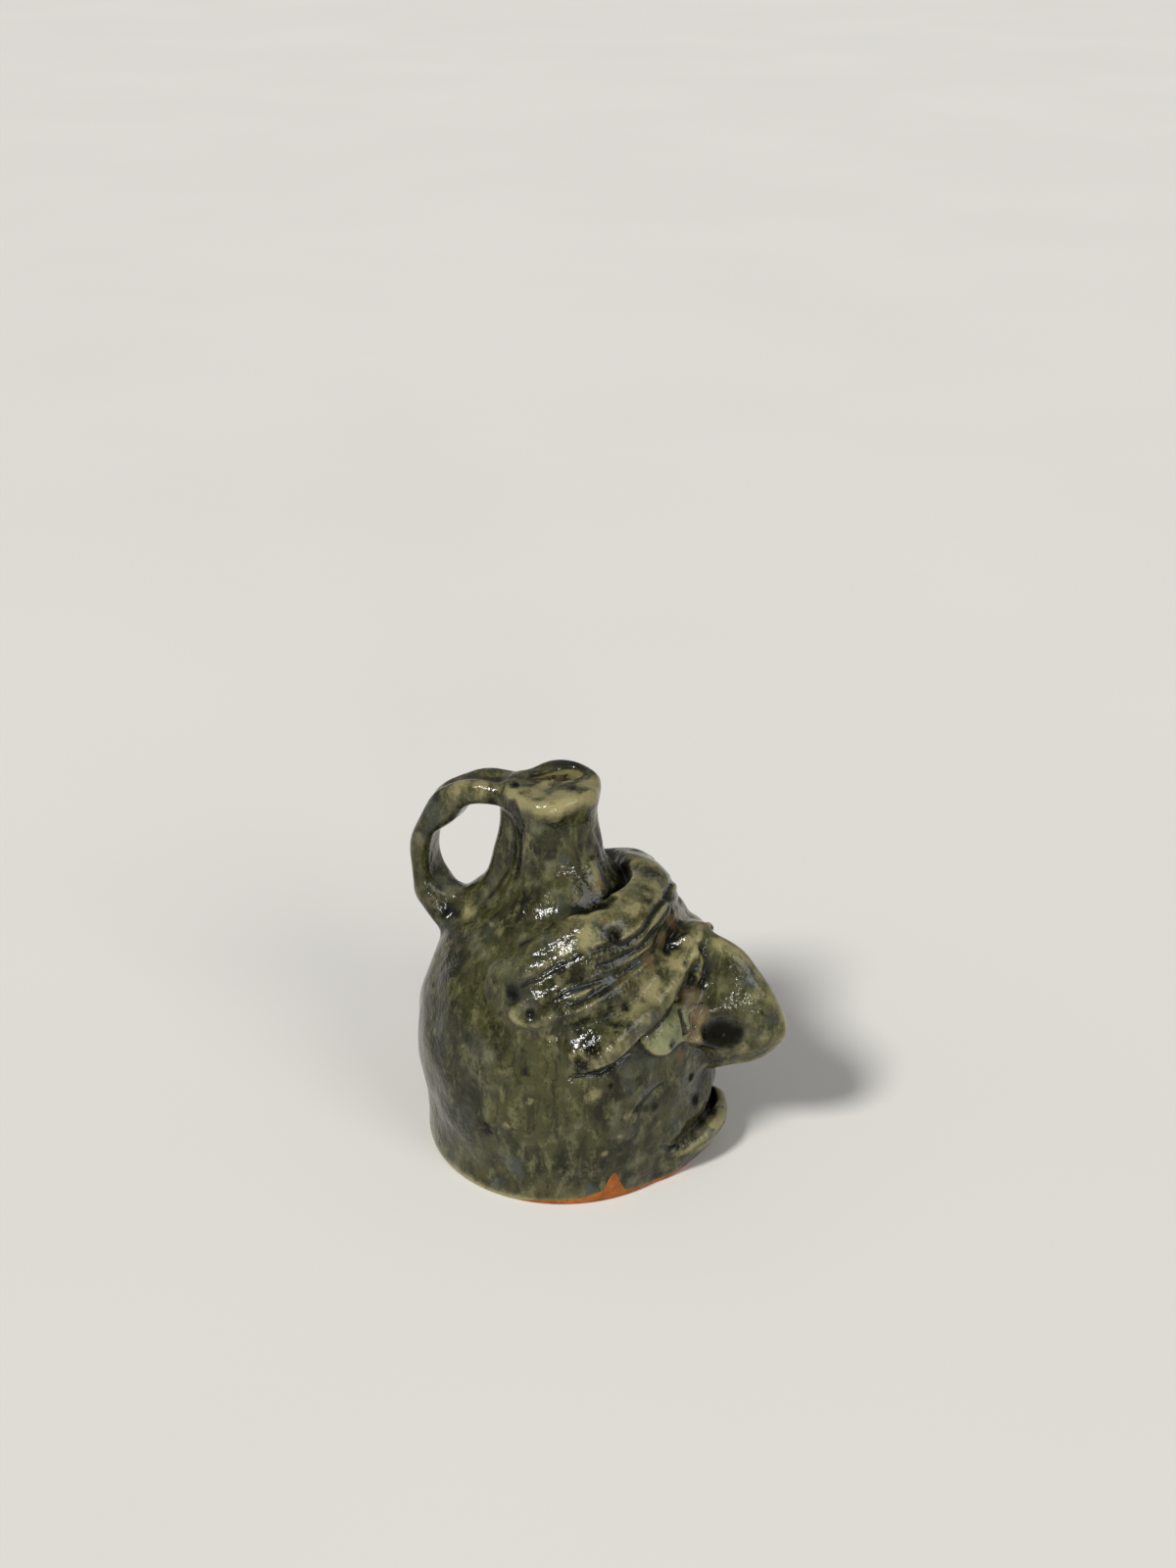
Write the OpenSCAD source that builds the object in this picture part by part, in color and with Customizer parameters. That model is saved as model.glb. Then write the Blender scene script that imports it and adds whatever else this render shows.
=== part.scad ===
// Small stoneware face jug: a closed pot on a floor slab, a leaning neck with a rolled rim,
// a pulled strap handle at the back, and hair, brows, eyes, nose and lips laid on as clay pieces.
// The face looks along +X, the handle is on -X, and the foot stands on z = 0 with its centre at the origin.

/* [Pot] */
// Radius of the foot where it stands
foot_r = 39.5; // [37:0.5:41.5]
// Thickness of the floor slab
floor_t = 5; // [3.5:0.5:7]
// Rounding of the foot's lower edge
foot_round = 1.2; // [0.6:0.1:2]
// Radius of the pot at its fullest ring
belly_r = 41.8; // [40:0.2:44]
// Height of the fullest ring
belly_z = 30; // [26:1:34]
// Height at which the shoulder would close to a point
crown_z = 80; // [78:0.5:83]
// Height of the flat that the neck stands on
seat_z = 74; // [72:0.5:75.5]
// How square the shoulder is, where 2 is an ellipse
shoulder_power = 2.15; // [2:0.05:2.4]
// Thickness of the pot's wall
wall_t = 4.5; // [3.5:0.25:6]

/* [Neck and mouth] */
// Height of the rim above the table
jug_h = 110; // [107:0.5:114]
// Radius of the neck at its slimmest
neck_r = 11.25; // [10:0.25:12]
// Distance of the slimmest ring of the neck below the rim
waist_drop = 5; // [3:0.5:8]
// Radius of the neck's flared foot
flare_r = 21.8; // [20:0.2:22.4]
// Radius of the bore down the neck
bore_r = 5.5; // [5:0.25:6.5]
// Lean of the neck toward the handle, in degrees
neck_lean = 4; // [0:0.5:6]
// Height at which the neck's lean starts
lean_z = 66; // [60:1:70]
// Radius of the rolled rim
rim_r = 12.8; // [11.8:0.1:13.5]
// Height of the rolled rim
rim_h = 7; // [5.5:0.5:8]
// Radius of the mouth inside the rim's top
mouth_r = 7.1; // [6.8:0.1:8]

/* [Handle] */
// Distance of the strap's centre line from the pot's axis at its furthest
handle_reach = 41; // [39:0.5:46]
// Distance of the strap's centre line below the rim's top at its highest
handle_drop = 4; // [3:0.1:5.5]
// Height at which the strap's foot sinks into the shoulder
handle_low = 60; // [57:0.5:62]
// Width of the strap
strap_w = 13; // [10:0.5:14]
// Thickness of the strap
strap_t = 6; // [4:0.1:6.5]
// Width of the channel drawn down the strap's back
channel_w = 5; // [3:0.5:6]
// Depth of that channel
channel_d = 1.1; // [0.5:0.1:1.6]
// Width of the clay smeared down the neck under the strap
smear_w = 9; // [6:0.5:10]
// How far that clay stands off the neck
smear_t = 4.25; // [2:0.25:5]

/* [Hair] */
// Height of the hair wave above the shoulder at its fullest
wave_t = 8; // [6:0.25:9]
// Thickness of one combed strand of the wave
wave_strand = 5.2; // [4.4:0.2:6]
// Height of a side lock above the shoulder
lock_t = 2.6; // [2:0.1:3.2]
// Width of a side lock at its widest
lock_w = 8.25; // [7:0.25:9.5]

/* [Brows and eyes] */
// Height of a brow at its inner end
brow_in_z = 64.5; // [62:0.5:66]
// Height of a brow at its outer end
brow_out_z = 47; // [43:0.5:50]
// Width of a brow
brow_w = 10.5; // [7:0.25:11.5]
// How far a brow stands off the pot
brow_t = 5; // [3.5:0.25:6]
// How much further its inner end stands out, over the root of the nose
brow_peak = 7; // [3:0.5:9]
// Height of an eye's centre
eye_z = 49; // [46:0.5:51]
// Length of an eye from corner to corner
eye_l = 17; // [14:0.5:19]
// Height of an eye between its lids
eye_h = 11.5; // [9:0.25:13]
// How far an eye bulges from the pot
eye_t = 3; // [2:0.1:4]
// Width of the pupil's pit
pupil_w = 2.2; // [1.4:0.1:3]
// Depth of the pupil's pit
pupil_d = 0.9; // [0.5:0.1:1.4]

/* [Nose and lips] */
// Depth of the nose's pivot line inside the pot's fullest ring
nose_sink = 5.8; // [4.8:0.2:7.8]
// Height of the nose's pivot line
nose_z = 48; // [46:0.5:50]
// Reach of the nose's ridge from its pivot line
nose_reach = 23; // [21:0.5:26]
// How far the nose's tip stands past that reach
nose_hook = 6; // [3:0.25:7.5]
// Width of the nose across its wings
nose_w = 29; // [25:0.5:31]
// Width of the nose between the brows
bridge_w = 9; // [7:0.5:11]
// Width of the nose's rounded ridge
ridge_w = 8.5; // [6.5:0.25:10]
// Depth of the hollow beside each wing
hollow_d = 2.6; // [1.5:0.1:3.2]
// Height of the lower lip's top edge
lip_top_z = 13; // [11.5:0.25:15]
// Height at which the lower lip starts
lip_low_z = 1.5; // [1:0.25:3]
// How far the lower lip juts from the pot
lip_jut = 7.5; // [6:0.25:9.5]
// Width of the mouth's trough behind the lower lip
trough_w = 3; // [2:0.25:3.5]
// Depth of that trough
trough_d = 6.5; // [4:0.25:8]
// How far the upper lip stands off the pot
upper_t = 1.2; // [1:0.1:2]
// Height of the upper lip
upper_h = 11; // [9:0.25:12]
// How far it hangs behind the lower lip's top edge
upper_lap = 2; // [1:0.25:3]

/* [Hidden] */

// One overrun serves all cuts
over = 1;
// Skin of air under a piece that lies on a round neighbour
seat_gap = 0.06;
// Step along the height for reading the shoulder's slope
slope_step = 0.05;

// Segments along the pot's outline, the neck's outline, around a turned piece and around a cut to fit one
outline_steps = 22;
neck_steps = 14;
turned_fn = 96;
form_fn = 72;

glaze = [0.43, 0.43, 0.31];
glaze_dark = [0.26, 0.27, 0.17];
glaze_pale = [0.56, 0.53, 0.38];
glaze_blue = [0.35, 0.41, 0.40];
eye_glaze = [0.60, 0.65, 0.42];
bare_clay = [0.65, 0.38, 0.17];
lip_clay = [0.50, 0.44, 0.30];

// Curves

function mix(a, b, u) = a + (b - a) * u;

function unit(v) = v / norm(v);

// Cubic curve through four control points
function cubic(p, t) =
    pow(1 - t, 3) * p[0] + 3 * pow(1 - t, 2) * t * p[1]
    + 3 * (1 - t) * pow(t, 2) * p[2] + pow(t, 3) * p[3];

// Smooth curve through the points of a list, u from 0 to 1
function through(p, u) =
    let (
        last = len(p) - 1,
        s = min(u * last, last - 0.0001),
        i = floor(s),
        t = s - i,
        a = p[max(i - 1, 0)],
        b = p[i],
        c = p[i + 1],
        d = p[min(i + 2, last)]
    )
    ((2 * b) + (c - a) * t + (2 * a - 5 * b + 4 * c - d) * pow(t, 2)
    + (3 * b - a - 3 * c + d) * pow(t, 3)) / 2;

// One in the middle of a piece, falling to zero at both ends; a larger power gives blunter ends
function swell(u, power = 2) = pow(max(0, 1 - pow(abs(2 * u - 1), power)), 1 / power);

// Pot

// Radius of the pot's skin at a height
function pot_r(z) =
    z < belly_z
    ? belly_r - (belly_r - foot_r) * pow((belly_z - z) / belly_z, 2)
    : belly_r * pow(max(0, 1 - pow((z - belly_z) / (crown_z - belly_z), shoulder_power)), 1 / shoulder_power);

// Height of the shoulder at a radius
function dome_z(r) =
    belly_z + (crown_z - belly_z) * pow(1 - pow(r / belly_r, shoulder_power), 1 / shoulder_power);

function meridian(r, z, az) = [r * cos(az), r * sin(az), z];

// Outward direction of the skin in its meridian plane, at a height
function skin_out(z) = unit([1, -(pot_r(z + slope_step) - pot_r(z - slope_step)) / (2 * slope_step)]);

// Point a distance out from the skin, and its directions across and out
function on_skin(az, z, out) =
    let (n = skin_out(z))
    meridian(pot_r(z) + out * n[0], z + out * n[1], az);
function up_skin(az, z) =
    let (n = skin_out(z))
    [-n[1] * cos(az), -n[1] * sin(az), n[0]];
function off_skin(az, z) =
    let (n = skin_out(z))
    [n[0] * cos(az), n[0] * sin(az), n[1]];

// The pot's outline from the foot to the seat, in steps that crowd toward the shoulder
pot_outline = [
    for (i = [0:outline_steps])
    let (z = mix(floor_t, seat_z, sin(90 * i / outline_steps)))
    [pot_r(z), z]
];

inner_r = belly_r - wall_t;
ceiling_z = seat_z - wall_t;
cavity_outline = [
    for (i = [0:outline_steps])
    let (z = mix(floor_t, ceiling_z, sin(90 * i / outline_steps)), n = skin_out(z))
    [pot_r(z) - wall_t / n[0] * min(1, n[0] + wall_t / inner_r), z]
];

// Neck, in its own upright frame before it leans

module leaning() {
    translate([0, 0, lean_z])
        rotate([0, -neck_lean, 0])
            translate([0, 0, -lean_z])
                children();
}

function leant(p) =
    let (h = p[2] - lean_z)
    [p[0] * cos(neck_lean) - h * sin(neck_lean), p[1], lean_z + p[0] * sin(neck_lean) + h * cos(neck_lean)];

rim_low_z = jug_h - rim_h;
waist_z = rim_low_z - waist_drop;
handle_top = jug_h - handle_drop;
nose_x = belly_r - nose_sink;
// The neck runs on below the seat so that it meets it all round when it leans
neck_root_z = seat_z - over - rim_h;
// Bends of the flare: shares from the neck's radius to the flare's, and from the seat up to the waist
neck_bend_shares = [[0, 0.58], [0.53, 0.18]];
neck_curve = concat(
    [[neck_r, waist_z]],
    [for (s = neck_bend_shares) [mix(neck_r, flare_r, s[0]), mix(seat_z, waist_z, s[1])]],
    [[flare_r, seat_z]]
);
neck_top_share = 0.26;
neck_top_r = mix(neck_r, rim_r, neck_top_share);
neck_outline = concat(
    [[neck_top_r, rim_low_z]],
    [for (i = [0:neck_steps]) cubic(neck_curve, i / neck_steps)],
    [[flare_r + over, neck_root_z]]
);

// Clay sections

sides = 12;

// Ring of points: an oval about p, half width w along a and half height h along n
function oval(p, a, n, w, h) = [
    for (i = [0:sides - 1])
    let (t = 360 * i / sides)
    p + a * w * cos(t) + n * h * sin(t)
];

// Ring with flatter sides, as a pulled strap has
function strap_ring(p, a, n, w, h) = [
    for (i = [0:sides - 1])
    let (t = 360 * (i + 0.5) / sides, c = cos(t), s = sin(t))
    p + a * w * sign(c) * pow(abs(c), 0.6) + n * h * sign(s) * pow(abs(s), 0.7)
];

function middle(ring) = [for (p = ring) 1] * ring / len(ring);

// Clay between two rings, drawn out a little at both middles so that each link runs into the next
lap_share = 0.15;
module link(ring_a, ring_b) {
    a = middle(ring_a);
    b = middle(ring_b);
    points = concat(ring_a, ring_b, [a + (a - b) * lap_share, b + (b - a) * lap_share]);
    hull() polyhedron(points = points, faces = [[for (i = [0:len(points) - 1]) i]]);
}

// Clay drawn along a row of rings
module drawn(rings) {
    for (i = [1:len(rings) - 1])
        link(rings[i - 1], rings[i]);
}

// The forms that neighbours are cut to fit
module pot_form(grow) {
    rotate_extrude($fn = form_fn)
        polygon(concat(
            [[0, -over]],
            [[foot_r + grow, -over]],
            [for (i = [0:outline_steps])
                let (z = mix(0, seat_z, sin(90 * i / outline_steps)), n = skin_out(z))
                [pot_r(z) + grow * n[0], z + grow * n[1]]],
            [[0, seat_z + grow]]
        ));
}

module neck_form(grow) {
    leaning()
        rotate_extrude($fn = form_fn)
            polygon(concat(
                [[0, neck_root_z], [0, rim_low_z]],
                [for (p = neck_outline) [p[0] + grow, p[1]]]
            ));
}

module rim_form(grow) {
    leaning()
        rotate_extrude($fn = form_fn)
            polygon(concat(
                [[0, rim_low_z - grow]],
                [for (p = rim_outer) [p[0] + grow, p[1] + grow * sign(p[1] - rim_low_z)]],
                [[0, jug_h + grow]]
            ));
}

// Foot and pot

foot_round_steps = 6;

module foot_slab() {
    color(bare_clay)
        rotate_extrude($fn = turned_fn)
            polygon(concat(
                [[0, 0]],
                [for (i = [0:foot_round_steps])
                    let (t = 90 * i / foot_round_steps)
                    [pot_r(foot_round) - foot_round * (1 - sin(t)), foot_round * (1 - cos(t))]],
                [[pot_r(mix(foot_round, floor_t, 0.5)), mix(foot_round, floor_t, 0.5)]],
                [[pot_r(floor_t), floor_t], [0, floor_t]]
            ));
}

module bore(low, high, r) {
    leaning()
        translate([0, 0, low])
            cylinder(r = r, h = high - low, $fn = turned_fn);
}

module pot_wall() {
    color(glaze)
        difference() {
            rotate_extrude($fn = turned_fn)
                polygon(concat(
                    pot_outline,
                    [[0, seat_z], [0, ceiling_z]],
                    [for (i = [outline_steps:-1:0]) cavity_outline[i]]
                ));
            bore(ceiling_z - wall_t, seat_z + wall_t, bore_r);
        }
}

module neck() {
    color(glaze_dark)
        difference() {
            leaning()
                rotate_extrude($fn = turned_fn)
                    polygon(concat([[0, neck_root_z], [0, rim_low_z]], neck_outline));
            bore(neck_root_z - rim_h, rim_low_z + over, bore_r);
            translate([0, 0, seat_z - belly_r])
                cylinder(r = belly_r, h = belly_r, $fn = turned_fn);
        }
}

// The rim's outer outline: a roll that stands out past the neck and turns in over the mouth
roll_r = (rim_r - mouth_r) / 2;
roll_steps = 10;
roll_low_angle = -50;
// Heights of the roll's middle, the mouth's edge and the funnel's foot, from the rim's foot to its top
roll_share = 0.62;
edge_share = 0.86;
funnel_share = 0.4;
rim_outer = concat(
    [[neck_top_r, rim_low_z]],
    [for (i = [0:roll_steps])
        let (t = mix(roll_low_angle, 90, i / roll_steps))
        [
            rim_r - roll_r + roll_r * cos(t),
            mix(rim_low_z, jug_h, roll_share) + rim_h * (1 - roll_share) * sin(t)
        ]]
);

module rim() {
    color(glaze_pale)
        leaning()
            rotate_extrude($fn = turned_fn)
                polygon(concat(
                    rim_outer,
                    [[mouth_r, mix(rim_low_z, jug_h, edge_share)]],
                    [[bore_r, mix(rim_low_z, jug_h, funnel_share)], [bore_r, rim_low_z]]
                ));
}

// Handle: a pulled strap with a channel down its back, smeared onto the neck and thumbed onto the shoulder

// Centre line in shares of the reach and of the height, from the rim to the shoulder
strap_shares = [
    [0.24, 0.97], [0.41, 1], [0.63, 0.985], [0.83, 0.9], [0.965, 0.73],
    [1, 0.53], [0.975, 0.33], [0.9, 0.17], [0.78, 0.06], [0.66, 0]
];
strap_line = [
    for (s = strap_shares) [-handle_reach * s[0], 0, mix(handle_low, handle_top, s[1])]
];
strap_steps = 34;
across = [0, 1, 0];

function strap_place(u) = through(strap_line, u);
function strap_back(u) =
    let (d = unit(strap_place(min(1, u + 0.01)) - strap_place(max(0, u - 0.01))))
    cross(d, across);

// The strap is widest where it joins the rim and where the thumb pressed it down
strap_flare_share = 0.14;
function strap_width(u) = strap_w * (1 + strap_flare_share * pow(abs(2 * u - 1), 3));

module strap() {
    drawn([
        for (i = [0:strap_steps])
        let (u = i / strap_steps)
        strap_ring(strap_place(u), across, strap_back(u), strap_width(u) / 2, strap_t / 2)
    ]);
}

module strap_channel() {
    drawn([
        for (i = [1:strap_steps - 3])
        let (u = i / strap_steps, n = strap_back(u))
        oval(strap_place(u) + n * strap_t / 2, across, n, channel_w / 2, channel_d)
    ]);
}

// The smeared clay runs down the neck's back and on along the shoulder to the strap's foot
smear_steps = 14;
// Where it turns from the neck to the shoulder, how far down the flare, and where it meets the strap
smear_turn_share = 0.62;
smear_flare_share = 0.86;
smear_end_share = 0.72;
// Its sag between them, and its width and thickness at its end, as shares of those at its start
smear_sag_share = 1.15;
smear_end_shares = [1.4, 1.15];
function smear_place(u) =
    u < smear_turn_share
    ? let (v = u / smear_turn_share, p = cubic(neck_curve, v * smear_flare_share))
        leant([-p[0], 0, mix(p[1], handle_top, pow(1 - v, 3))])
    : let (
        v = (u - smear_turn_share) / (1 - smear_turn_share),
        p = cubic(neck_curve, smear_flare_share),
        from = leant([-p[0], 0, p[1]]),
        to = strap_place(smear_end_share)
    )
    mix(from, to, v) - [0, 0, smear_t * smear_sag_share * sin(180 * v)];
function smear_back(u) =
    let (d = unit(smear_place(min(1, u + 0.02)) - smear_place(max(0, u - 0.02))))
    cross(across, d);

module smear() {
    drawn([
        for (i = [0:smear_steps])
        let (u = i / smear_steps)
        oval(
            smear_place(u), across, smear_back(u),
            smear_w / 2 * mix(1, smear_end_shares[0], u), smear_t * mix(1, smear_end_shares[1], u)
        )
    ]);
}

module handle() {
    color(glaze)
        difference() {
            union() {
                difference() {
                    strap();
                    strap_channel();
                }
                smear();
            }
            pot_form(seat_gap);
            neck_form(seat_gap);
            rim_form(seat_gap);
        }
}

// Hair: one combed wave round the front of the neck, and a side lock under each of its tails

wave_angle = 100;
wave_steps = 15;
wave_strands = 5;
// Radius of each strand's seat at the front and at the tail, as shares of the pot's radius
wave_front_shares = [0.43, 0.51, 0.59, 0.64, 0.67];
wave_tail_shares = [0.73, 0.745, 0.765, 0.785, 0.8];
// Height of each strand at the front, as shares of the wave's thickness
wave_rise_shares = [0.8, 0.94, 0.82, 0.5, 0.12];
// Thickness of a strand at its tail, and where the wave's underside lies, as shares
wave_tip_share = 0.3;
wave_seat_share = 0.94;
wave_under_share = 0.9;

function wave_place(k, u) =
    let (
        v = k / (wave_strands - 1),
        r = belly_r * mix(wave_front_shares[k], wave_tail_shares[k], pow(abs(u), 5 - 2 * v)),
        rise = wave_t * wave_rise_shares[k] * (1 - pow(abs(u), 2.2))
    )
    on_skin(wave_angle * u, dome_z(r), rise);

function wave_radius(u) = wave_strand / 2 * mix(wave_tip_share, 1, swell(mix(0.5, 1, abs(u)), 2.4));

// One strand runs from tail to tail as a round roll
module wave_strand_roll(k) {
    drawn([
        for (i = [-wave_steps:wave_steps])
        let (
            u = i / wave_steps,
            p = wave_place(k, u),
            d = unit(wave_place(k, min(1, u + 0.01)) - wave_place(k, max(-1, u - 0.01))),
            n = off_skin(wave_angle * u, dome_z(norm([p[0], p[1]]) * wave_seat_share))
        )
        oval(p, cross(n, d), n, wave_radius(u), wave_radius(u))
    ]);
}

// The body of the wave under its strands
module wave_core() {
    drawn([
        for (i = [-wave_steps:wave_steps])
        let (u = i / wave_steps)
        concat(
            [for (k = [0:wave_strands - 1]) wave_place(k, u)],
            [for (k = [0:wave_strands - 1])
                let (p = wave_place(k, u))
                on_skin(wave_angle * u, dome_z(norm([p[0], p[1]]) * wave_under_share), -over)]
        )
    ]);
}

module wave_form() {
    wave_core();
    for (k = [0:wave_strands - 1])
        wave_strand_roll(k);
}

module hair_wave() {
    color(glaze_pale)
        difference() {
            wave_form();
            pot_form(seat_gap);
            neck_form(seat_gap);
        }
}

lock_az = [14, 94];
lock_steps = 12;
lock_strands = 4;
// Radius of a side lock's middle at its front and tail, as shares of the pot's radius
lock_r_shares = [0.69, 0.845];
// Width and thickness at its ends, and how its height falls toward its edges
lock_end_shares = [0.25, 0.35];
lock_fall_share = 1.4;
// Half width and height of its body, and of a strand over its share of the width
lock_body_shares = [0.5, 0.8];
lock_strand_shares = [0.6, 1.15];
// How much later and sooner each next strand starts and ends
lock_stagger_share = 0.012;

function lock_turn(u) = -mix(lock_az[0], lock_az[1], u);
function lock_z(u) = dome_z(belly_r * mix(lock_r_shares[0], lock_r_shares[1], u));
function lock_wide(u) = lock_w * mix(lock_end_shares[0], 1, swell(u, 2));
function lock_rise(u, side) =
    lock_t * (1 - lock_fall_share * pow(side, 2)) * mix(lock_end_shares[1], 1, swell(u, 3));

// Ring across part of the lock, about side 0 in its middle to plus or minus a half at its edges
function lock_ring(u, side, wide_share, rise_share) =
    let (az = lock_turn(u), z = lock_z(u), up = up_skin(az, z))
    oval(
        on_skin(az, z, 0) - up * side * lock_wide(u), up, off_skin(az, z),
        lock_wide(u) * wide_share, lock_rise(u, side) * rise_share
    );

module side_lock_form() {
    drawn([
        for (i = [0:lock_steps])
        lock_ring(i / lock_steps, 0, lock_body_shares[0], lock_body_shares[1])
    ]);
    for (k = [0:lock_strands - 1])
        drawn([
            for (i = [0:lock_steps])
            let (
                trim = lock_stagger_share * (k + 1),
                u = mix(trim, 1 - trim, i / lock_steps),
                side = (k + 0.5) / lock_strands - 0.5
            )
            lock_ring(u, side, lock_strand_shares[0] / lock_strands, lock_strand_shares[1])
        ]);
}

module side_lock_right() {
    color(glaze_blue)
        difference() {
            side_lock_form();
            pot_form(seat_gap);
            wave_form();
        }
}

module side_lock_left() {
    mirror([0, 1, 0]) side_lock_right();
}

// Brows: coils from the bridge of the nose down to the temples

brow_az = [5, 67];
brow_steps = 16;
// How the brow's line bends down, how soon its inner end falls to its height,
// its size at its outer end, and how much of the taper its blunt inner end skips
brow_bend = 1.15;
brow_peak_bend = 5;
brow_end_share = 0.25;
brow_blunt_share = 0.1;
// Width at the inner and outer end, and the height of its middle and of its crown
brow_wide_shares = [0.82, 1.08];
brow_rise_shares = [0.2, 0.8];

module brow() {
    drawn([
        for (i = [0:brow_steps])
        let (
            u = i / brow_steps,
            az = -mix(brow_az[0], brow_az[1], u),
            z = mix(brow_in_z, brow_out_z, pow(u, brow_bend)),
            full = mix(brow_end_share, 1, swell(mix(brow_blunt_share, 1, u), 3.2))
        )
        oval(
            on_skin(az, z, brow_t * brow_rise_shares[0]), up_skin(az, z), off_skin(az, z),
            brow_w / 2 * full * mix(brow_wide_shares[0], brow_wide_shares[1], u),
            brow_t * brow_rise_shares[1] * full + brow_peak * pow(1 - u, brow_peak_bend)
        )
    ]);
}

module brow_right() {
    color(glaze_pale)
        difference() {
            brow();
            pot_form(seat_gap);
            wave_form();
            side_lock_form();
            nose_form();
        }
}

module brow_left() {
    mirror([0, 1, 0]) brow_right();
}

// Eyes: almond pads under the brows, each with a pit for its pupil

eye_az = -28;
eye_steps = 12;
pupil_az = -20.5;
// Height of the eye at its corners, and its bulge there
eye_corner_share = 0.08;
eye_edge_share = 0.3;
// Where the pit's depth is taken from, and its half length and half width at its top and floor
pupil_from_share = 0.86;
pupil_top_shares = [1, 0.5];
pupil_floor_shares = [0.6, 0.25];

module eye_pad() {
    drawn([
        for (i = [0:eye_steps])
        let (
            u = i / eye_steps,
            az = eye_az + (u - 0.5) * eye_l / belly_r * 180 / PI,
            full = mix(eye_corner_share, 1, pow(sin(180 * u), 0.8))
        )
        oval(
            on_skin(az, eye_z, 0), up_skin(az, eye_z), off_skin(az, eye_z),
            eye_h / 2 * full, eye_t * mix(eye_edge_share, 1, full)
        )
    ]);
}

function pupil_ring(out, shares) =
    oval(
        on_skin(pupil_az, eye_z, out), up_skin(pupil_az, eye_z), across,
        pupil_w * shares[0], pupil_w * shares[1]
    );

module eye_right() {
    color(eye_glaze)
        difference() {
            eye_pad();
            pot_form(seat_gap);
            brow();
            nose_form();
            link(
                pupil_ring(eye_t + over, pupil_top_shares),
                pupil_ring(eye_t * pupil_from_share - pupil_d, pupil_floor_shares)
            );
        }
}

module eye_left() {
    mirror([0, 1, 0]) eye_right();
}

// Nose: a fan of sections about a pivot line inside the pot, from the bridge round the tip to the base

nose_top_angle = 106;
nose_low_angle = -74;
// The bridge widens toward the wings below this angle
nose_wing_angle = 75;
nose_tip_angle = -17;
nose_tip_spread = 30;
nose_steps = 21;
ridge_steps = 8;
// The wings reach their full width this far round, and draw in again by a share at the base
nose_full_angle = 115;
nose_base_share = 0.08;
// The bridge narrows by a share toward the brows
bridge_taper_share = 0.22;
// Half width at the root, reach of the wings and roundness of the ridge
nose_root_share = 0.8;
nose_wing_share = 0.34;
ridge_round_share = 0.8;

function nose_dir(a) = [cos(a), 0, sin(a)];

function nose_ridge(a) = nose_reach + nose_hook * exp(-pow((a - nose_tip_angle) / nose_tip_spread, 2));

// Half width at the pivot line: narrow between the brows, widest across the wings
function nose_half(a) =
    let (
        u = max(0, (nose_wing_angle - a) / (nose_wing_angle - nose_low_angle)),
        v = (nose_top_angle - a) / (nose_top_angle - nose_low_angle)
    )
    mix(bridge_w, nose_w, pow(sin(min(90, nose_full_angle * u)), 0.8)) / 2
    * (1 - nose_base_share * pow(u, 5)) * (1 - bridge_taper_share * pow(1 - v, 3));

function nose_section(a) =
    let (
        ridge = nose_ridge(a),
        w = nose_half(a),
        rr = min(ridge_w / 2, w),
        p = [nose_x, 0, nose_z],
        d = nose_dir(a),
        wing = p + d * ridge * nose_wing_share,
        round_r = rr * ridge_round_share
    )
    concat(
        [p + across * w * nose_root_share, p - across * w * nose_root_share],
        [wing + across * w, wing - across * w],
        [for (i = [0:ridge_steps])
            let (t = mix(-90, 90, i / ridge_steps))
            p + d * (ridge - round_r + round_r * cos(t)) + across * rr * sin(t)]
    );

module nose_form() {
    drawn([
        for (i = [0:nose_steps])
        nose_section(mix(nose_top_angle, nose_low_angle, i / nose_steps))
    ]);
}

// Hollow behind the wing, pressed in with a fingertip
hollow_at_shares = [0.6, 0.125];
hollow_size_shares = [0.36, 0.23];
hollow_out_share = 0.35;
hollow_pitch = 20;
hollow_yaw = 18;
hollow_fn = 20;
module nose_hollow(side) {
    translate([
        nose_x + nose_reach * hollow_at_shares[0],
        side * (mix(nose_w, ridge_w, hollow_at_shares[0]) / 2 + hollow_d * hollow_out_share),
        nose_z - nose_reach * hollow_at_shares[1]
    ])
        rotate([0, hollow_pitch, -side * hollow_yaw])
            scale([nose_reach * hollow_size_shares[0], hollow_d, nose_reach * hollow_size_shares[1]])
                sphere(r = 1, $fn = hollow_fn);
}

module nose() {
    color(glaze_dark)
        difference() {
            nose_form();
            pot_form(seat_gap);
            wave_form();
            nose_hollow(1);
            nose_hollow(-1);
        }
}

// Lips: a low upper lip and a jutting lower one with the mouth as a trough between them

lip_az = 28;
lip_steps = 12;
upper_az = 25;
upper_corner_share = 0.12;
// Outline of the lower lip in its meridian plane, in shares of the jut and of the height
// A jut of none lies inside the wall
lip_shares = [
    [0, 0], [0.52, 0], [0.78, 0.3], [1, 0.62],
    [0.98, 0.86], [0.84, 1], [0.6, 0.98], [0, 0.8]
];
// Jut and height of the lip at its corners
lip_corner_shares = [0.04, 0.5];
// Outline of the trough: shares of its width from the pot's skin, and of its depth, with none open above
trough_shares = [[-1, 0], [1.15, 0], [0.9, 0.6], [0.6, 1], [-1, 1]];
// The mouth stands open within this angle to each side, and the lip is pressed shut beyond it
trough_az = 20;
trough_corner_share = 0.1;

function lip_reach(u) = lip_jut * mix(lip_corner_shares[0], 1, 1 - pow(u, 2));

module lower_lip_form() {
    drawn([
        for (i = [-lip_steps:lip_steps])
        let (
            u = i / lip_steps,
            top = mix(lip_low_z, lip_top_z, mix(1, lip_corner_shares[1], pow(abs(u), 2)))
        )
        [for (s = lip_shares)
            let (z = mix(lip_low_z, top, s[1]))
            meridian(pot_r(z) + (s[0] == 0 ? -over : s[0] * lip_reach(u)), z, lip_az * u)]
    ]);
}

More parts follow.
